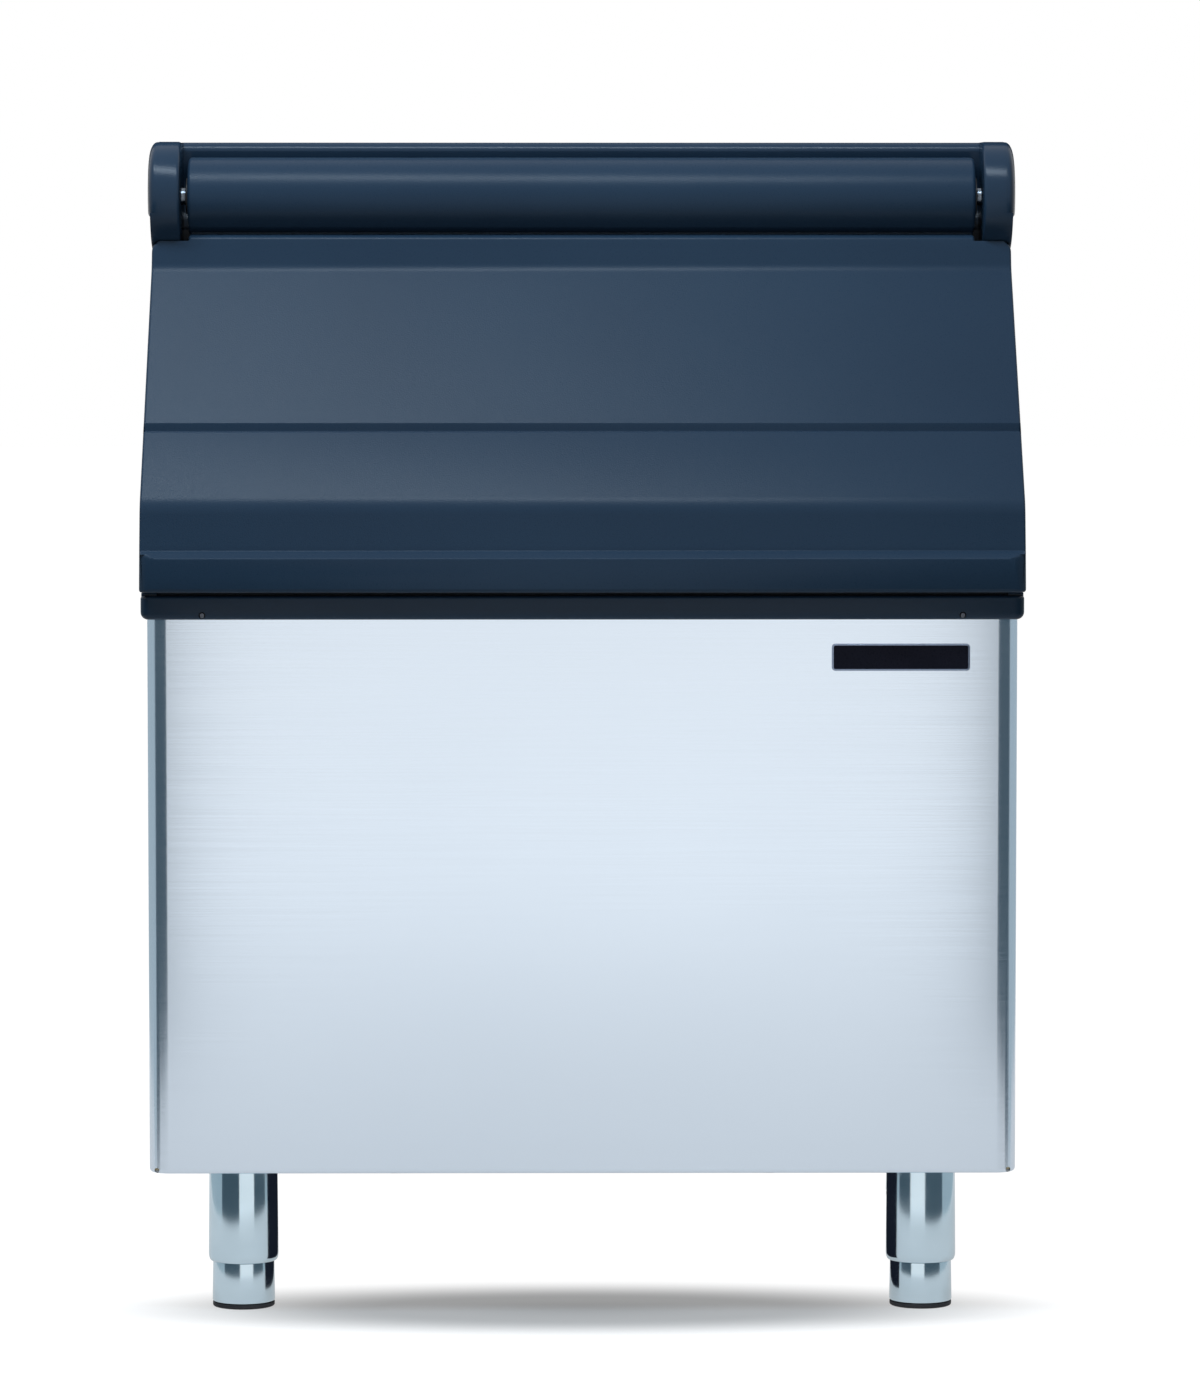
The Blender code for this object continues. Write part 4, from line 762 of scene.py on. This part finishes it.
# Door face: an outer shell in the same slate plastic, with the barrel it turns on, notches that
# clear the ears, a step across the slope and a lip to lift it by. It is moulded hollow.
DOOR_HALF = 0.3853
DOOR_FOOT = 0.6404
DOOR_HEAD = 0.9463
DOOR_THICKNESS = 0.036
DOOR_WALL = 0.0035
DOOR_INSIDE = 0.379
DOOR_EDGE = 0.0022
LIP_FRONT = -0.420
LIP_HEAD = 0.6700
LIP_END = 0.3655
BARREL_RADIUS = 0.0345
BARREL_HALF = 0.3508
NOTCH_RADIUS = 0.0498
STEP_FOOT = 0.0763
STEP_WIDTH = 0.0092

door_slate = add_moulding(
    "door_slate", SLATE, 0.30, (950, 3.5), SLATE_SHADES, (0.26, 0.36), (0.00025, 0.45), 0.12
)


def under_hinge(depth, below):
    """The point at a depth behind the sloping face, a way down the slope from the hinge."""
    hinge_depth = (HINGE - FACE_BEND).dot(INTO_BIN)
    return HINGE - UP_SLOPE * below + INTO_BIN * (depth - hinge_depth)


step_foot = FACE_BEND + UP_SLOPE * STEP_FOOT
step_head = step_foot + UP_SLOPE * STEP_WIDTH
neck_front, neck_back, neck_head = HINGE.x - 0.012, HINGE.x + 0.0112, HINGE.y - 0.017
inner_bend = bend_behind_face(DOOR_THICKNESS)
inner_head = along_slope(FACE_BEND + INTO_BIN * DOOR_THICKNESS, neck_back)
door_view = rounded([
    (LIP_FRONT + 0.0035, DOOR_FOOT, 0.004),
    (LIP_FRONT, LIP_HEAD, 0.0022),
    (FACE_BEND.x - 0.0025, 0.6764, 0.0015),
    (*FACE_BEND, 0.030),
    (*step_foot, 0.0014),
    (step_head.x, step_foot.y, 0.0008),
    (*step_head, 0.0009),
    (*FACE_SHOULDER, 0.020),
    (-0.2570, 0.9500, 0.0042),
    (neck_front, 0.9525, 0),
    (neck_front, neck_head, 0),
    (neck_back, neck_head, 0),
    (*inner_head, 0),
    (*inner_bend, 0),
    (inner_bend.x, DOOR_FOOT, 0),
])
door_shell = draw_out("door_shell", door_view, -0.40, 0.40)
front_view = rounded([
    (-DOOR_HALF, DOOR_FOOT - 0.001, 0),
    (DOOR_HALF, DOOR_FOOT - 0.001, 0),
    (DOOR_HALF - 0.0030, DOOR_HEAD, 0.010),
    (BARREL_HALF - 0.001, DOOR_HEAD, 0),
    (BARREL_HALF - 0.001, 1.03, 0),
    (-BARREL_HALF + 0.001, 1.03, 0),
    (-BARREL_HALF + 0.001, DOOR_HEAD, 0),
    (-DOOR_HALF + 0.0030, DOOR_HEAD, 0.010),
], 8)
work_in(door_shell, draw_out("front_view", front_view, -0.45, -0.15, "Y"), "INTERSECT")
for side in (-1, 1):
    inside, outside = (side * (BARREL_HALF - HAIR), *HINGE), (side * 0.42, *HINGE)
    work_in(door_shell, add_rod("ear_notch", NOTCH_RADIUS, inside, outside, 96))
    lip_end = [(side * 0.42, -0.43), (side * LIP_END, -0.43), (side * LIP_END, -0.4205)]
    for share in (0.2, 0.4, 0.6, 1.0):
        lip_end += [(side * (LIP_END + 0.024 * share), -0.4205 + 0.014 * share * share)]
    lip_end += [(side * 0.42, -0.4065)]
    work_in(door_shell, draw_out("lip_end", lip_end, 0.60, LIP_HEAD + 0.0035, "Z"))
clean_up(door_shell, 0.00002)
round_off(door_shell, lambda e: is_corner(e, 40) and abs(middle(e).x) > 0.345
          and any(abs(f.normal.x) > 0.5 for f in e.link_faces), DOOR_EDGE, 3, clamp_overlap=False)
barrel = add_rod("barrel", BARREL_RADIUS, (-BARREL_HALF, *HINGE), (BARREL_HALF, *HINGE), 96)
round_off(barrel, lambda e: at(abs(middle(e).x), BARREL_HALF), 0.0035, 5)
work_in(door_shell, barrel, "UNION")

# The hollow behind the face, the way up the neck and the hollow barrel
HOLLOW_HEAD = 0.0533
NECK_FOOT = 0.0568
NECK_HALF = 0.008
cavity_foot = DOOR_FOOT + DOOR_WALL
behind = DOOR_THICKNESS + 0.020
hollow_bend = bend_behind_face(DOOR_WALL)
hollow_low = hollow_bend + UP_SLOPE * 0.0720
hollow_high = hollow_low + UP_SLOPE * 0.0178
step_room = INTO_BIN * 0.004
cavity = [
    (LIP_FRONT + 0.0070, cavity_foot),
    (LIP_FRONT + 0.0070, LIP_HEAD),
    (FACE_BEND.x + DOOR_WALL, LIP_HEAD + 0.0035),
    hollow_bend,
    hollow_low,
    hollow_low + step_room,
    hollow_high + step_room,
    hollow_high,
    under_hinge(DOOR_WALL, HOLLOW_HEAD),
    under_hinge(behind, HOLLOW_HEAD),
    bend_behind_face(behind),
    (FACE_BEND.x + behind, cavity_foot),
]
work_in(door_shell, draw_out("door_hollow", cavity, -DOOR_INSIDE, DOOR_INSIDE))
ends = (-BARREL_INSIDE, *HINGE), (BARREL_INSIDE, *HINGE)
work_in(door_shell, add_rod("barrel_hollow", BARREL_RADIUS - DOOR_WALL, *ends, 64))
neck = [
    under_hinge(DOOR_WALL * 3, NECK_FOOT),
    (HINGE.x - NECK_HALF * 2, DOOR_HEAD - DOOR_WALL),
    (HINGE.x - NECK_HALF, HINGE.y - BARREL_RADIUS),
    (HINGE.x - NECK_HALF, HINGE.y),
    (HINGE.x + NECK_HALF, HINGE.y),
    (HINGE.x + NECK_HALF, HINGE.y - BARREL_RADIUS),
    under_hinge(DOOR_THICKNESS - DOOR_WALL, NECK_FOOT),
]
neck_end = BARREL_INSIDE - DOOR_WALL
work_in(door_shell, draw_out("neck_hollow", neck, -neck_end, neck_end))
for side in (-1, 1):
    ends = (side * (BARREL_INSIDE - 0.010), *HINGE), (side * (BARREL_HALF + 0.020), *HINGE)
    work_in(door_shell, add_rod("bush_way", 0.0117, *ends, 48))
smooth(door_shell, 35)
dress(door_shell, door_slate)
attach(door_shell, "door")
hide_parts("door_outer_shell")


# Door back: a second slate moulding that closes the hollow door, with a raised plug that fills the
# opening inside the seal. It is bonded to the foam and to the face shell's edge.
def sheet_under_face(outer, inner, foot_z, below):
    """A strip along the door's face between two depths, from a foot up to below the hinge."""
    outside = [(FACE_BEND.x + outer, foot_z), bend_behind_face(outer), under_hinge(outer, below)]
    inside = [(FACE_BEND.x + inner, foot_z), bend_behind_face(inner), under_hinge(inner, below)]
    return outside + inside[::-1]


PAN_HALF = 0.3787
PLUG_HALF = 0.322
PLUG_ROUND = 0.0033
pan_view = sheet_under_face(0.033, DOOR_THICKNESS, 0.6442, 0.0536)
door_back = draw_out("door_back", pan_view, -PAN_HALF, PAN_HALF)
plug_view = sheet_under_face(0.0345, 0.046, 0.674, 0.106)
plug = draw_out("door_plug", plug_view, -PLUG_HALF, PLUG_HALF)
round_off(
    plug, lambda e: is_corner(e, 50) and depth_of(middle(e)) > DOOR_THICKNESS, PLUG_ROUND, 4
)
work_in(door_back, plug, "UNION")
smooth(door_back)
dress(door_back, door_slate)
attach(door_back, "door")
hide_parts("door_inner_shell")

# Door seal: a soft black rubber ring round the plug, pressed into the back of the door, that
# closes on the frame all round the opening.
SEAL_HALF = 0.352
SEAL_WIDTH = 0.014
SEAL_FOOT = 0.6444
SEAL_HEAD = 0.0695
rubber = add_moulding(
    "seal_rubber", (0.030, 0.030, 0.034), 0.72, (1200, 14),
    ((0.025, 0.025, 0.030), (0.036, 0.036, 0.041)), (0.62, 0.82), (0.0002, 0.3),
)
seal_view = sheet_under_face(0.0363, 0.0437, SEAL_FOOT, SEAL_HEAD)
seal = draw_out("door_seal", seal_view, -SEAL_HALF, SEAL_HALF)
hole_view = sheet_under_face(0.028, 0.052, SEAL_FOOT + SEAL_WIDTH, SEAL_HEAD + SEAL_WIDTH)
hole_half = SEAL_HALF - SEAL_WIDTH
work_in(seal, draw_out("seal_hole", hole_view, -hole_half, hole_half))
take(seal)
weld()
bevel(lambda e: is_corner(e, 50) and depth_of(middle(e)) > 0.043, 0.0024, 4)
put_down()
smooth(seal)
dress(seal, rubber)
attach(seal, "door")
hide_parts("door_gasket")

# Baffle and its brackets: a clear plastic plate hung on two moulded pins inside the opening, in
# white moulded eyes stuck on the tank's side walls.
BAFFLE_AXIS = (-0.190, 0.872)
BAFFLE_HALF = 0.315
BAFFLE_FOOT = 0.667
BAFFLE_HEAD = 0.880
clear = start_material("clear_plastic", (0.80, 0.86, 0.90), 0.18)
shader_of(clear).inputs["Transmission Weight"].default_value = 0.85
roughen(clear, add_grain(clear, 60), 0.12, 0.30)
white = add_moulding(
    "white_plastic", (0.72, 0.73, 0.73), 0.42, (800, 20),
    ((0.69, 0.70, 0.70), (0.75, 0.76, 0.76)), (0.38, 0.50), (0.0002, 0.2),
)

baffle_view = plate_view((-BAFFLE_HALF, BAFFLE_FOOT), (BAFFLE_HALF, BAFFLE_HEAD), 0.020, 0.005)
baffle = draw_out("baffle_plate", baffle_view, -0.192, -0.188, "Y")
round_off(baffle, lambda e: is_corner(e, 50), 0.0007, 2)
baffle_pins = add_rod("baffle_pins", 0.004, (-0.329, *BAFFLE_AXIS), (0.329, *BAFFLE_AXIS), 32)
baffle_rib = add_block("baffle_rib", (-0.295, -0.196, 0.687), (0.295, -0.184, 0.693))
for part in (baffle_pins, baffle_rib):
    round_off(part, lambda e: is_corner(e, 50), 0.0008, 2)
    work_in(baffle, part, "UNION")
smooth(baffle)
dress(baffle, clear)
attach(baffle, "baffle")
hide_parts("ice_baffle")

eye_low = (BAFFLE_AXIS[0] - 0.016, BAFFLE_AXIS[1] - 0.018)
eye_high = (BAFFLE_AXIS[0] + 0.016, BAFFLE_AXIS[1] + 0.018)
eye_view = plate_view(eye_low, eye_high, 0.006, 0.006)
for side, name in ((-1, "left_baffle_bracket"), (1, "right_baffle_bracket")):
    inner, outer = side * 0.317, side * 0.3307
    eye = draw_out(name + "_eye", eye_view, min(inner, outer), max(inner, outer))
    round_off(eye, lambda e: all(at(v.co.x, inner) for v in e.verts), 0.0020, 4)
    ends = (side * 0.300, *BAFFLE_AXIS), (side * 0.330, *BAFFLE_AXIS)
    work_in(eye, add_rod("eye_bore", 0.0044, *ends, 32))
    smooth(eye)
    dress(eye, white)
    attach(eye, "cabinet")
    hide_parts(name)

# Drain: a flanged white fitting through the tank's floor, held by a nut under the base pan, with
# a pierced steel strainer over it and a bent pipe that leads the melt water to the back.
PIPE_RADIUS = 0.0167
PIPE_HEAD = 0.1013
PIPE_DROP = 0.030
PIPE_BEND = 0.024
fitting_view = [(0.0125, 0.1022), (0.0131, 0.1016), (0.0160, 0.1016), (0.0167, 0.1024)]
for turn in range(5):
    fitting_view += [(0.0167, 0.1046 + 0.0024 * turn), (0.0160, 0.1056 + 0.0024 * turn)]
fitting_view += [(0.0167, 0.1168), (0.0167, 0.1823), (0.0296, 0.1823), (0.0300, 0.1827)]
fitting_view += [(0.0300, 0.1846), (0.0298, 0.1851), (0.0293, 0.1853), (0.0133, 0.1853)]
fitting_view += [(0.0127, 0.1851), (0.0125, 0.1845)]
fitting = spin_up("drain_flange", fitting_view + fitting_view[:1])
nut = add_rod("drain_hex_nut", 0.027, (0, DRAIN_Y, 0.1173), (0, DRAIN_Y, 0.1293), 6)
round_off(nut, lambda e: not runs_along(e, 2), 0.0014, 3)
work_in(nut, add_rod("nut_bore", DRAIN_BORE, (0, DRAIN_Y, 0.10), (0, DRAIN_Y, 0.15), 48))
strainer_view = [(0, 0.1856), (0.0236, 0.1856), (0.0240, 0.1860), (0.0240, 0.1871)]
strainer_view += [(0.0238, 0.1875), (0.0234, 0.1876), (0, 0.1876)]
strainer = spin_up("drain_grate", strainer_view)
for piece in (fitting, strainer):
    lay(piece, (0, 0, 0), (0, DRAIN_Y, 0))
for hole in range(6):
    turn = hole * math.pi / 3
    x, y = 0.0085 * math.cos(turn), DRAIN_Y + 0.0085 * math.sin(turn)
    work_in(strainer, add_rod("grate_hole", 0.003, (x, y, 0.18), (x, y, 0.19), 24))

bpy.ops.object.select_all(action="DESELECT")
pipe_place = (0, DRAIN_Y, PIPE_HEAD)
bpy.ops.mesh.primitive_circle_add(vertices=48, radius=PIPE_RADIUS, location=pipe_place)
elbow = bpy.context.object
elbow.name = "drain_pipe"
bpy.ops.object.transform_apply()
bpy.ops.object.mode_set(mode="EDIT")
bpy.ops.mesh.select_all(action="SELECT")
bpy.ops.mesh.extrude_region_move(TRANSFORM_OT_translate={"value": (0, 0, -PIPE_DROP)})
bend_centre = (0, DRAIN_Y + PIPE_BEND, PIPE_HEAD - PIPE_DROP)
bpy.ops.mesh.spin(steps=14, angle=-math.pi / 2, center=bend_centre, axis=(1, 0, 0))
bpy.ops.mesh.extrude_region_move(TRANSFORM_OT_translate={"value": (0, 0.071, 0)})
weld()
bpy.ops.mesh.select_all(action="SELECT")
bpy.ops.mesh.normals_make_consistent(inside=False)
put_down()
thicken(elbow, 0.0042)
for piece, node in ((fitting, "drain_fitting"), (nut, "drain_nut"), (elbow, "drain_elbow")):
    smooth(piece)
    dress(piece, white)
    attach(piece, "cabinet")
    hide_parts(node)
smooth(strainer)
dress(strainer, pin_steel)
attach(strainer, "cabinet")
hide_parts("drain_strainer")

# Legs: bright steel tubes with their lower rims rolled in, each on a stud that screws up into the
# base. A threaded plug in the tube takes the screw foot, a steel cup on a rubber pad.
LEG_PLACES = {
    "front_left": (-0.3015, -0.310, 0),
    "front_right": (0.3015, -0.310, 0),
    "rear_left": (-0.335, 0.345, 0),
    "rear_right": (0.335, 0.345, 0),
}
leg_steel = start_material("leg_steel", (0.61, 0.74, 0.82), 0.12, 1.0)
rolled = add_grain(leg_steel, 1.0, stretch=(900, 900, 2))
smears = add_grain(leg_steel, 24)
tint(leg_steel, smears, (0.58, 0.71, 0.79), (0.64, 0.77, 0.85))
roughen(leg_steel, smears, 0.09, 0.15)
raise_grain(leg_steel, rolled, 0.000005, 0.1)

tube_view = [(0, 0.1493), (0.0053, 0.1493), (0.0060, 0.1486), (0.0060, 0.1293), (0.0299, 0.1293)]
tube_view += [(0.0302, 0.1291), (0.0303, 0.1287)]
rim_turns = [math.radians(15 * step) for step in range(7)]
tube_view += [(0.0288 + 0.0022 * math.cos(a), 0.0476 - 0.0065 * math.sin(a)) for a in rim_turns]
tube_view += [(0.0273, 0.0411), (0.0273, 0.0476), (0.0288, 0.0491), (0.0288, 0.1253), (0, 0.1253)]
insert_view = [(0.0063, 0.0500), (0.0069, 0.0494), (0.0280, 0.0494), (0.0285, 0.0499)]
insert_view += [(0.0285, 0.0649), (0.0280, 0.0654), (0.0069, 0.0654), (0.0063, 0.0648)]
foot_view = [(0, 0.0858), (0.0048, 0.0858), (0.0058, 0.0850)]
for turn in range(33):
    foot_view += [(0.0060, 0.0843 - 0.00125 * turn), (0.0054, 0.0837 - 0.00125 * turn)]
foot_view += [(0.0054, 0.0408), (0.0268, 0.0408), (0.0271, 0.0406), (0.0272, 0.0402)]
foot_view += [(0.0258 + 0.0020 * math.cos(a), 0.0063 - 0.0020 * math.sin(a)) for a in rim_turns]
foot_view += [(0, 0.0043)]
pad_view = [(0, 0.0040), (0.0272, 0.0040), (0.0275, 0.0037)]
pad_view += [(0.0259 + 0.0016 * math.cos(a), 0.0016 - 0.0016 * math.sin(a)) for a in rim_turns]
pad_view += [(0, 0)]
for ending, view, material, slot, moves, node in (
    ("_tube", tube_view, leg_steel, "polished_stainless", False, "_leg_tube"),
    ("_plug", insert_view + insert_view[:1], nylon, "black_plastic", False, "_leg_insert"),
    ("_screw_cup", foot_view, leg_steel, "polished_stainless", True, "_foot"),
    ("_rubber_pad", pad_view, rubber, "seal_rubber", True, "_foot_pad"),
):
    model = spin_up("leg_part", view)
    smooth(model)
    dress(model, material)
    for corner, place in LEG_PLACES.items():
        piece = lay(copy_of(model, corner + ending), (0, 0, 0), place)
        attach(piece, corner + "_screw_foot" if moves else "cabinet")
        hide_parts(corner + node)
    bpy.data.objects.remove(model, do_unlink=True)

# Studio: a pale floor that glows white to the eye, save for a painted shadow, a soft grey patch
# before the legs, and that glows to reflections, dimmer near the cabinet, as a painted reflection
# in the steel; glowing cards that only reflections show, painted reflections and a painted dark
# under the cabinet; a white room; and soft lamps: a strip from the front, a broad one overhead and
# two low ones from in front.
# The painted shadow: an oval before the front legs where the floor's glow to the eye is dimmed, to
# about a quarter at its middle
SHADE_HALF_WIDTH = 0.50
SHADE_HALF_DEPTH = 0.17
SHADE_Y = -0.335
PAINTED_SHADOW_STOPS = [(0, 0.24), (0.35, 0.30), (1.0, 1.0)]
# The floor's glow to reflections, dim near the cabinet and full far off: a painted reflection that
# makes the casing and legs darker towards their feet
FAR_STOPS = [(0, 0.50), (0.9, 0.58), (1.4, 0.68), (2.6, 0.92), (4.0, 1.0), (6.0, 1.0)]
ROOM_LIGHT = 0.06


def combine(tree, operation, first, second):
    """A math node on two values, each a socket or a number."""
    maths = tree.nodes.new("ShaderNodeMath")
    maths.operation = operation
    for value, target in zip((first, second), maths.inputs):
        if isinstance(value, float):
            target.default_value = value
        else:
            tree.links.new(value, target)
    return maths.outputs["Value"]


def length_of(tree, vector):
    length = tree.nodes.new("ShaderNodeVectorMath")
    length.operation = "LENGTH"
    tree.links.new(vector, length.inputs[0])
    return length.outputs["Value"]


def scale_up(tree, distance, stops):
    """Turns a distance into a strength, through (distance, strength) stops up to the last."""
    ramp = tree.nodes.new("ShaderNodeValToRGB")
    ramp.color_ramp.interpolation = "EASE"
    while len(ramp.color_ramp.elements) < len(stops):
        ramp.color_ramp.elements.new(0.5)
    for element, (reach, strength) in zip(ramp.color_ramp.elements, stops):
        element.position = reach / stops[-1][0]
        element.color = (strength, strength, strength, 1)
    tree.links.new(combine(tree, "DIVIDE", distance, stops[-1][0]), ramp.inputs["Fac"])
    return ramp.outputs["Color"]


floor_white = start_material("floor", (0.25, 0.25, 0.25), 0.9)
shader = shader_of(floor_white)
shader.inputs["Specular IOR Level"].default_value = 0
tree = floor_white.node_tree
place = tree.nodes.new("ShaderNodeTexCoord").outputs["Object"]
seen = tree.nodes.new("ShaderNodeLightPath").outputs
painted_shadow_place = tree.nodes.new("ShaderNodeMapping")
painted_shadow_place.inputs["Scale"].default_value = (1 / SHADE_HALF_WIDTH, 1 / SHADE_HALF_DEPTH, 0)
painted_shadow_place.inputs["Location"].default_value = (0, -SHADE_Y / SHADE_HALF_DEPTH, 0)
tree.links.new(place, painted_shadow_place.inputs["Vector"])
shade = scale_up(tree, length_of(tree, painted_shadow_place.outputs["Vector"]), PAINTED_SHADOW_STOPS)
far = scale_up(tree, length_of(tree, place), FAR_STOPS)
# To the eye the floor glows white, dimmed in the oval of the painted shadow
to_eye = combine(tree, "MULTIPLY", seen["Is Camera Ray"], shade)
# To reflections the floor glows by its distance from the middle, a painted reflection
to_metal = combine(tree, "MULTIPLY", seen["Is Glossy Ray"], far)
glow = tree.nodes.new("ShaderNodeEmission")
tree.links.new(combine(tree, "ADD", to_eye, to_metal), glow.inputs["Strength"])
both = tree.nodes.new("ShaderNodeAddShader")
tree.links.new(shader.outputs["BSDF"], both.inputs[0])
tree.links.new(glow.outputs["Emission"], both.inputs[1])
tree.links.new(both.outputs["Shader"], tree.nodes["Material Output"].inputs["Surface"])
bpy.ops.object.select_all(action="DESELECT")
bpy.ops.mesh.primitive_plane_add(size=60)
floor = bpy.context.object
floor.name = "floor"
dress(floor, floor_white)

# The cards stand upright on both sides, each from one (x, y) to another and from low to high
# Each card glows in its colour and shows only in reflections, a painted reflection: the dark card
# paints the dark band in the casing's front corners, the grey and back cards the pale strip beside
# it, the head card darkens what the barrel and ears reflect from behind, and the black card, under
# the cabinet between the legs, is painted dark for the legs' inner sides to reflect
CARDS = (
    ("dark_card", (0.505, -1.350), (1.317, -0.624), 0.0, 0.8, (0.07, 0.105, 0.130)),
    ("grey_card", (1.317, -0.624), (1.33, 1.2), 0.0, 0.8, (0.42, 0.50, 0.545)),
    ("back_card", (1.33, 1.2), (0.9, 1.5), 0.0, 0.8, (0.42, 0.50, 0.545)),
    ("head_card", (0, 1.6), (1.3, 1.6), 1.05, 2.9, (0.020, 0.028, 0.038)),
    ("black_card", (0.17, -0.33), (0.17, 0.42), 0.0, 0.125, (0.010, 0.012, 0.020)),
)
for side, hand in ((-1, "_left"), (1, "_right")):
    for name, (x1, y1), (x2, y2), low, high, glow_colour in CARDS:
        bpy.ops.object.select_all(action="DESELECT")
        bpy.ops.mesh.primitive_plane_add(size=1)
        card = bpy.context.object
        card.name = name + hand
        corners = ((x1, y1, low), (x2, y2, low), (x1, y1, high), (x2, y2, high))
        for vertex, (x, y, z) in zip(card.data.vertices, corners):
            vertex.co = (side * x, y, z)
        card.visible_camera = False
        card.visible_diffuse = False
        card.visible_shadow = False
        card.visible_transmission = False
        paint = bpy.data.materials.new(card.name)
        paint.use_nodes = True
        nodes = paint.node_tree.nodes
        nodes.remove(nodes["Principled BSDF"])
        plain = nodes.new("ShaderNodeEmission")
        plain.inputs["Color"].default_value = (*glow_colour, 1)
        surface = nodes["Material Output"].inputs["Surface"]
        paint.node_tree.links.new(plain.outputs["Emission"], surface)
        dress(card, paint)

# The room is white to the eye, in reflections and through the baffle, and dim as a light
world = bpy.data.worlds.new("studio")
bpy.context.scene.world = world
world.use_nodes = True
tree = world.node_tree
seen = tree.nodes.new("ShaderNodeLightPath").outputs
view = combine(tree, "MAXIMUM", seen["Is Camera Ray"], seen["Is Glossy Ray"])
view = combine(tree, "MAXIMUM", view, seen["Is Transmission Ray"])
level = tree.nodes.new("ShaderNodeMapRange")
level.inputs["To Min"].default_value = ROOM_LIGHT
level.inputs["To Max"].default_value = 1.0
tree.links.new(view, level.inputs["Value"])
background = tree.nodes["Background"]
tree.links.new(level.outputs["Result"], background.inputs["Strength"])
background.inputs["Color"].default_value = (1, 1, 1, 1)


def add_soft_box(name, place, target, size, watts, mirrored=False, colour=(1, 1, 1)):
    """An area lamp turned to a target, seen by the shiny pieces or not."""
    lamp = bpy.data.lights.new(name, "AREA")
    lamp.shape = "RECTANGLE"
    lamp.size, lamp.size_y = size
    lamp.energy = watts
    lamp.color = colour
    holder = bpy.data.objects.new(name, lamp)
    holder.location = place
    holder.rotation_euler = (Vector(target) - Vector(place)).to_track_quat("-Z", "Y").to_euler()
    holder.visible_glossy = mirrored
    bpy.context.scene.collection.objects.link(holder)


strip_colour = (0.74, 0.88, 1.0)
add_soft_box("front_strip", (-0.6, -1.7, 3.3), (0, -0.1, 0.7), (2.8, 0.5), 80, True, strip_colour)
add_soft_box("overhead", (0, 0.3, 3.4), (0, 0.1, 0), (3.0, 2.0), 5)
add_soft_box("floor_bounce", (0, -3.0, 0.2), (0, 0, 0.7), (3.0, 0.8), 9)
add_soft_box("low_bounce", (0, -1.05, 0.03), (0, -0.39, 0.62), (1.2, 0.15), 1.2)

camera_data = bpy.data.cameras.new("camera")
camera_data.lens = 156.95
camera_data.sensor_width = 36
camera = bpy.data.objects.new("camera", camera_data)
camera.location = (-0.0311, -5.685, 0.8993)
camera.rotation_euler = (math.radians(90 - 3.80), 0, math.radians(-0.5))
bpy.context.scene.collection.objects.link(camera)
bpy.context.scene.camera = camera
bpy.context.scene.view_settings.view_transform = "Standard"
